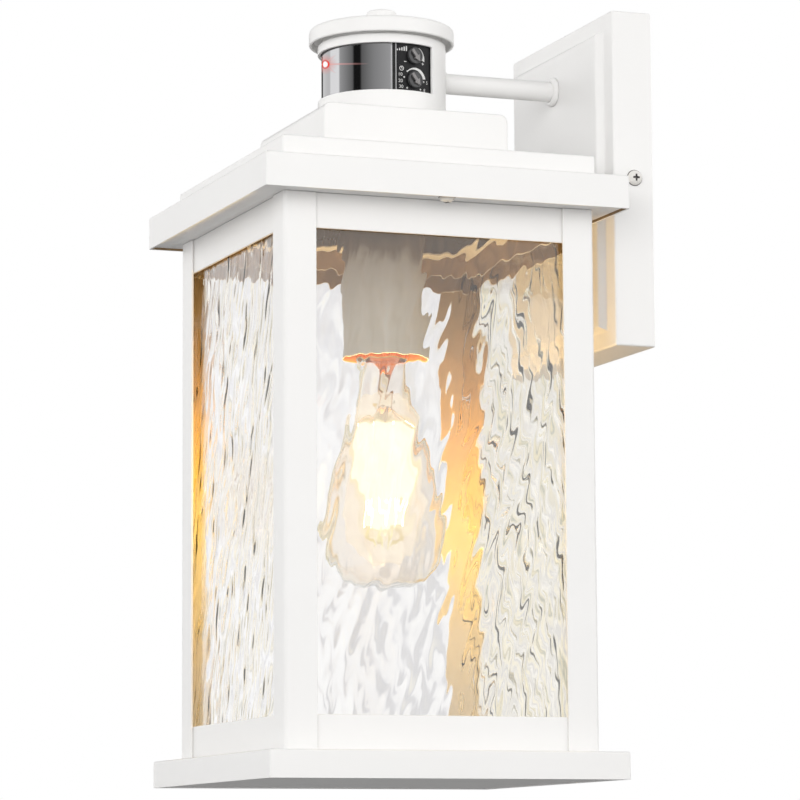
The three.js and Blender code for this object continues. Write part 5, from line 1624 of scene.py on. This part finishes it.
# What metal and gloss mirror: grey tones at directions in degrees from the front towards +X.
MIRRORED_STUDIO = (
    (-180, 0.36), (-118, 0.36), (-108, 0.03), (-86, 0.03), (-81, 0.52), (-49, 0.58), (-45, 0.86),
    (-21, 0.92), (-18, 0.38), (12, 0.14), (15, 0.01), (28, 0.01), (31, 0.12), (55, 0.27), (87, 0.40),
    (100, 0.42), (104, 0.85), (140, 0.85), (180, 0.36),
)

# What the rippled panes bend into view, as colours at such directions: dark and gold veins in white, the gold
# a painted reflection of the bulb's warm light.
SEEN_IN_PANES = (
    (-180, (0.97, 0.97, 0.98)), (-151, (0.80, 0.80, 0.81)), (-138, (0.60, 0.58, 0.54)),
    (-134, (1.0, 0.86, 0.52)), (-130, (0.82, 0.74, 0.52)), (-128.5, (0.42, 0.46, 0.40)),
    (-127, (1.0, 0.90, 0.60)), (-123, (1.0, 0.93, 0.72)), (-121, (0.95, 0.86, 0.62)),
    (-119.6, (0.48, 0.50, 0.43)), (-118.4, (1.0, 0.93, 0.74)), (-116, (0.94, 0.90, 0.80)),
    (-113.5, (0.76, 0.75, 0.75)), (-110.5, (0.92, 0.915, 0.93)), (-107, (1.0, 1.0, 1.0)),
    (-105.4, (0.99, 0.95, 0.84)), (-104, (0.50, 0.50, 0.45)), (-102.6, (1.0, 0.90, 0.66)),
    (-98, (1.0, 0.92, 0.68)), (-96.5, (0.44, 0.48, 0.42)), (-95, (1.0, 0.90, 0.60)),
    (-90, (0.64, 0.59, 0.50)), (-86, (1.0, 0.90, 0.62)), (-79, (0.97, 0.93, 0.83)),
    (-71, (0.90, 0.89, 0.87)), (-40, (1.0, 1.0, 1.0)), (180, (0.97, 0.97, 0.98)),
)


def round_about(stops):
    """Stops at directions in degrees, as stops from 0 to 1."""
    return [((degrees + 180) / 360, colour) for degrees, colour in stops]


def product(tree, first, second):
    """Two vectors or colours, multiplied part by part."""
    return add_node(tree, "ShaderNodeVectorMath", {0: first, 1: second}, operation="MULTIPLY").outputs[0]


def sky(tree, colour=(1, 1, 1, 1), strength=1.0):
    return add_node(tree, "ShaderNodeBackground", {"Color": colour, "Strength": strength}).outputs[0]


def mixed(tree, share, first, second):
    return add_node(tree, "ShaderNodeMixShader", {0: share, 1: first, 2: second}).outputs[0]


class LANTERN_OT_stage(bpy.types.Operator):
    """Camera, lamps, pale floor and world"""

    bl_idname = "lantern.stage"
    bl_label = "Stage"

    def lamp(self, name, power, target, azimuth, elevation, distance, size):
        """A square lamp, its azimuth in degrees from the front towards +X and its distance in metres."""
        turn, rise = math.radians(azimuth), math.radians(elevation)
        out = Vector((math.sin(turn) * math.cos(rise), -math.cos(turn) * math.cos(rise), math.sin(rise)))
        data = bpy.data.lights.new(name, "AREA")
        data.shape, data.size, data.energy = "SQUARE", size, power
        lamp = new_object(name, data)
        lamp.matrix_world = pointing(out, target + out * distance)
        lamp.visible_transmission = lamp.visible_glossy = False

    def floor(self):
        """A pale floor that is white to the eye and through glass, and darker where the light reaches it."""
        bm = bmesh.new()
        bmesh.ops.create_grid(bm, x_segments=1, y_segments=1, size=12.0,
                              matrix=Matrix.Translation((0, 0, -1.0)))
        mesh = new_mesh("studio_floor", bm)
        tree, shader = new_finish("studio_floor")
        path = add_node(tree, "ShaderNodeLightPath").outputs
        reach = add_node(tree, "ShaderNodeVectorMath", {0: place_on_piece(tree)}, operation="LENGTH")
        white, near, far, mirrored, lift = 0.88, 0.2, 0.66, 0.25, 0.26
        low = spread(tree, reach.outputs["Value"], near, far, 1.2, 2.6)
        low = sums(tree, "MULTIPLY", low, spread(tree, path["Is Glossy Ray"], 1.0, mirrored, 0.0, 1.0))
        plain = sums(tree, "SUBTRACT", path["Is Transmission Ray"], path["Diffuse Depth"], clamp=True)
        plain = sums(tree, "MAXIMUM", plain, path["Is Camera Ray"])
        tone = sums(tree, "MULTIPLY_ADD", plain, sums(tree, "SUBTRACT", white, low), low)
        glow = sums(tree, "MULTIPLY_ADD", plain, 0.14, 0.13)
        set_inputs(tree, shader, {
            "Base Color": add_node(tree, "ShaderNodeCombineColor", {i: tone for i in range(3)}).outputs[0],
            "Roughness": 0.9,
            "Emission Color": (1, 1, 1, 1),
            "Emission Strength": sums(tree, "MULTIPLY_ADD", path["Is Camera Ray"], lift, glow),
        })
        mesh.materials.append(FINISHES["studio_floor"])
        new_object("studio_floor", mesh)

    def mirror(self, tree, share, height):
        """Upright bands of the studio, plain white overhead and underfoot."""
        tones = round_about([(degrees, (tone, tone, tone)) for degrees, tone in MIRRORED_STUDIO])
        brightness, overhead = 2.5, 0.9
        bands = sums(tree, "MULTIPLY", ramp(tree, share, tones), brightness)
        steep = spread(tree, sums(tree, "ABSOLUTE", height), 0.0, 1.0, 0.5, 0.75)
        plain = sums(tree, "MULTIPLY", sums(tree, "SUBTRACT", overhead, bands), steep)
        return sums(tree, "ADD", bands, plain)

    def seen_in_panes(self, tree, share, direction):
        """Soft patches times upright veins, which the ripples of the panes turn into flowing lines."""
        upright = product(tree, direction, (1.0, 1.0, 0.35))
        spots = add_node(tree, "ShaderNodeTexNoise",
                         {"Vector": upright, "Scale": 15.0, "Detail": 1.0, "Roughness": 0.5})
        patches = ramp(tree, spots.outputs[0], [(0.36, (0.80, 0.80, 0.82)), (0.46, (0.88, 0.88, 0.90)),
                                                (0.52, (0.97, 0.97, 0.98)), (0.64, (1, 1, 1))])
        veins = ramp(tree, share, round_about(SEEN_IN_PANES))
        return product(tree, patches, veins)

    def daylight(self, tree, parts):
        """Strength of the light on the lantern, which comes mostly from below and from the right."""
        low = spread(tree, parts["Z"], 1.0, 0.08, 0.1, 0.9)
        side = sums(tree, "MULTIPLY_ADD", parts["X"], 0.28, 1.0)
        side = sums(tree, "MULTIPLY_ADD", parts["Y"], 0.11, side)
        return sums(tree, "MULTIPLY", low, side)

    def world(self, stage):
        """White to the eye, an even light on the lantern, a studio for mirrors and soft patches for glass."""
        world = bpy.data.worlds.new("studio_world")
        bpy.context.scene.world = world
        world.use_nodes = True
        tree = world.node_tree
        tree.nodes.clear()
        path = add_node(tree, "ShaderNodeLightPath").outputs
        direction = add_node(tree, "ShaderNodeTexCoord").outputs["Generated"]
        parts = add_node(tree, "ShaderNodeSeparateXYZ", {0: direction}).outputs
        turn = sums(tree, "ARCTAN2", parts["X"], sums(tree, "MULTIPLY", parts["Y"], -1.0))
        share = spread(tree, turn, 0.0, 1.0, -math.pi, math.pi)
        strength = sums(tree, "MULTIPLY", self.daylight(tree, parts), stage.ambient)
        last = mixed(tree, path["Is Glossy Ray"], sky(tree, (1.0, 0.994, 0.986, 1), strength),
                     sky(tree, self.mirror(tree, share, parts["Z"])))
        panes = mixed(tree, path["Diffuse Depth"], sky(tree, self.seen_in_panes(tree, share, direction)),
                      sky(tree, (1.0, 0.95, 0.85, 1), stage.inside))
        last = mixed(tree, path["Is Transmission Ray"], last, panes)
        last = mixed(tree, path["Is Camera Ray"], last, sky(tree))
        add_node(tree, "ShaderNodeOutputWorld", {"Surface": last})
        world.cycles.sampling_method = "NONE"

    def camera(self, lens):
        data = bpy.data.cameras.new("camera")
        data.lens, data.sensor_width, data.clip_end = lens, 36.0, 50.0
        camera = new_object("camera", data)
        place = Vector((1.61918, -0.72697, -0.33426))
        heading, pitch, roll = (69.035, "Z"), (97.588, "X"), (-0.335, "Z")
        turn = Matrix.Identity(4)
        for degrees, axis in (heading, pitch, roll):
            turn = turn @ Matrix.Rotation(math.radians(degrees), 4, axis)
        camera.matrix_world = Matrix.Translation(place) @ turn
        bpy.context.scene.camera = camera

    def execute(self, context):
        stage = context.scene.lantern_stage
        centre = (CAD_BOX[0] + CAD_BOX[1]) / 2
        self.camera(stage.lens)
        self.lamp("key_lamp", stage.key, centre, azimuth=52, elevation=10, distance=2.0, size=1.3)
        self.lamp("fill_lamp", stage.fill, centre, azimuth=-25, elevation=8, distance=2.2, size=1.6)
        self.floor()
        self.world(stage)
        context.scene.view_settings.view_transform = "Standard"
        return {"FINISHED"}


class LANTERN_PT_tools(bpy.types.Panel):
    """Lists the lantern's builders and settings"""

    bl_idname = "LANTERN_PT_tools"
    bl_label = "Wall Lantern"
    bl_space_type = "VIEW_3D"
    bl_region_type = "UI"
    bl_category = "Lantern"

    def draw(self, context):
        for name, group in SETTINGS.items():
            box = self.layout.box()
            box.label(text=name.replace("lantern_", "").title())
            for key in group.__annotations__:
                box.prop(getattr(context.scene, name), key)
        for operator in OPERATORS:
            self.layout.operator(operator.bl_idname)


SETTINGS = {
    "lantern_paint": LanternPaintSettings,
    "lantern_glass": LanternGlassSettings,
    "lantern_bulb": LanternBulbSettings,
    "lantern_sensor": LanternSensorSettings,
    "lantern_stage": LanternStageSettings,
}
OPERATORS = (
    LANTERN_OT_stage,
    LANTERN_OT_wall_plate,
    LANTERN_OT_arm,
    LANTERN_OT_sensor_head,
    LANTERN_OT_sensor_window,
    LANTERN_OT_roof,
    LANTERN_OT_cage,
    LANTERN_OT_glass,
    LANTERN_OT_base,
    LANTERN_OT_socket,
    LANTERN_OT_bulb,
    LANTERN_OT_fasteners,
    LANTERN_OT_hidden_parts,
)


def register():
    for group in SETTINGS.values():
        bpy.utils.register_class(group)
    for operator in OPERATORS:
        bpy.utils.register_class(operator)
    bpy.utils.register_class(LANTERN_PT_tools)
    for name, group in SETTINGS.items():
        setattr(bpy.types.Scene, name, bpy.props.PointerProperty(type=group))


def unregister():
    for name in SETTINGS:
        delattr(bpy.types.Scene, name)
    bpy.utils.unregister_class(LANTERN_PT_tools)
    for operator in reversed(OPERATORS):
        bpy.utils.unregister_class(operator)
    for group in reversed(SETTINGS.values()):
        bpy.utils.unregister_class(group)


def main():
    register()
    for operator in OPERATORS:
        group, name = operator.bl_idname.split(".")
        getattr(getattr(bpy.ops, group), name)()


if __name__ == "__main__":
    main()
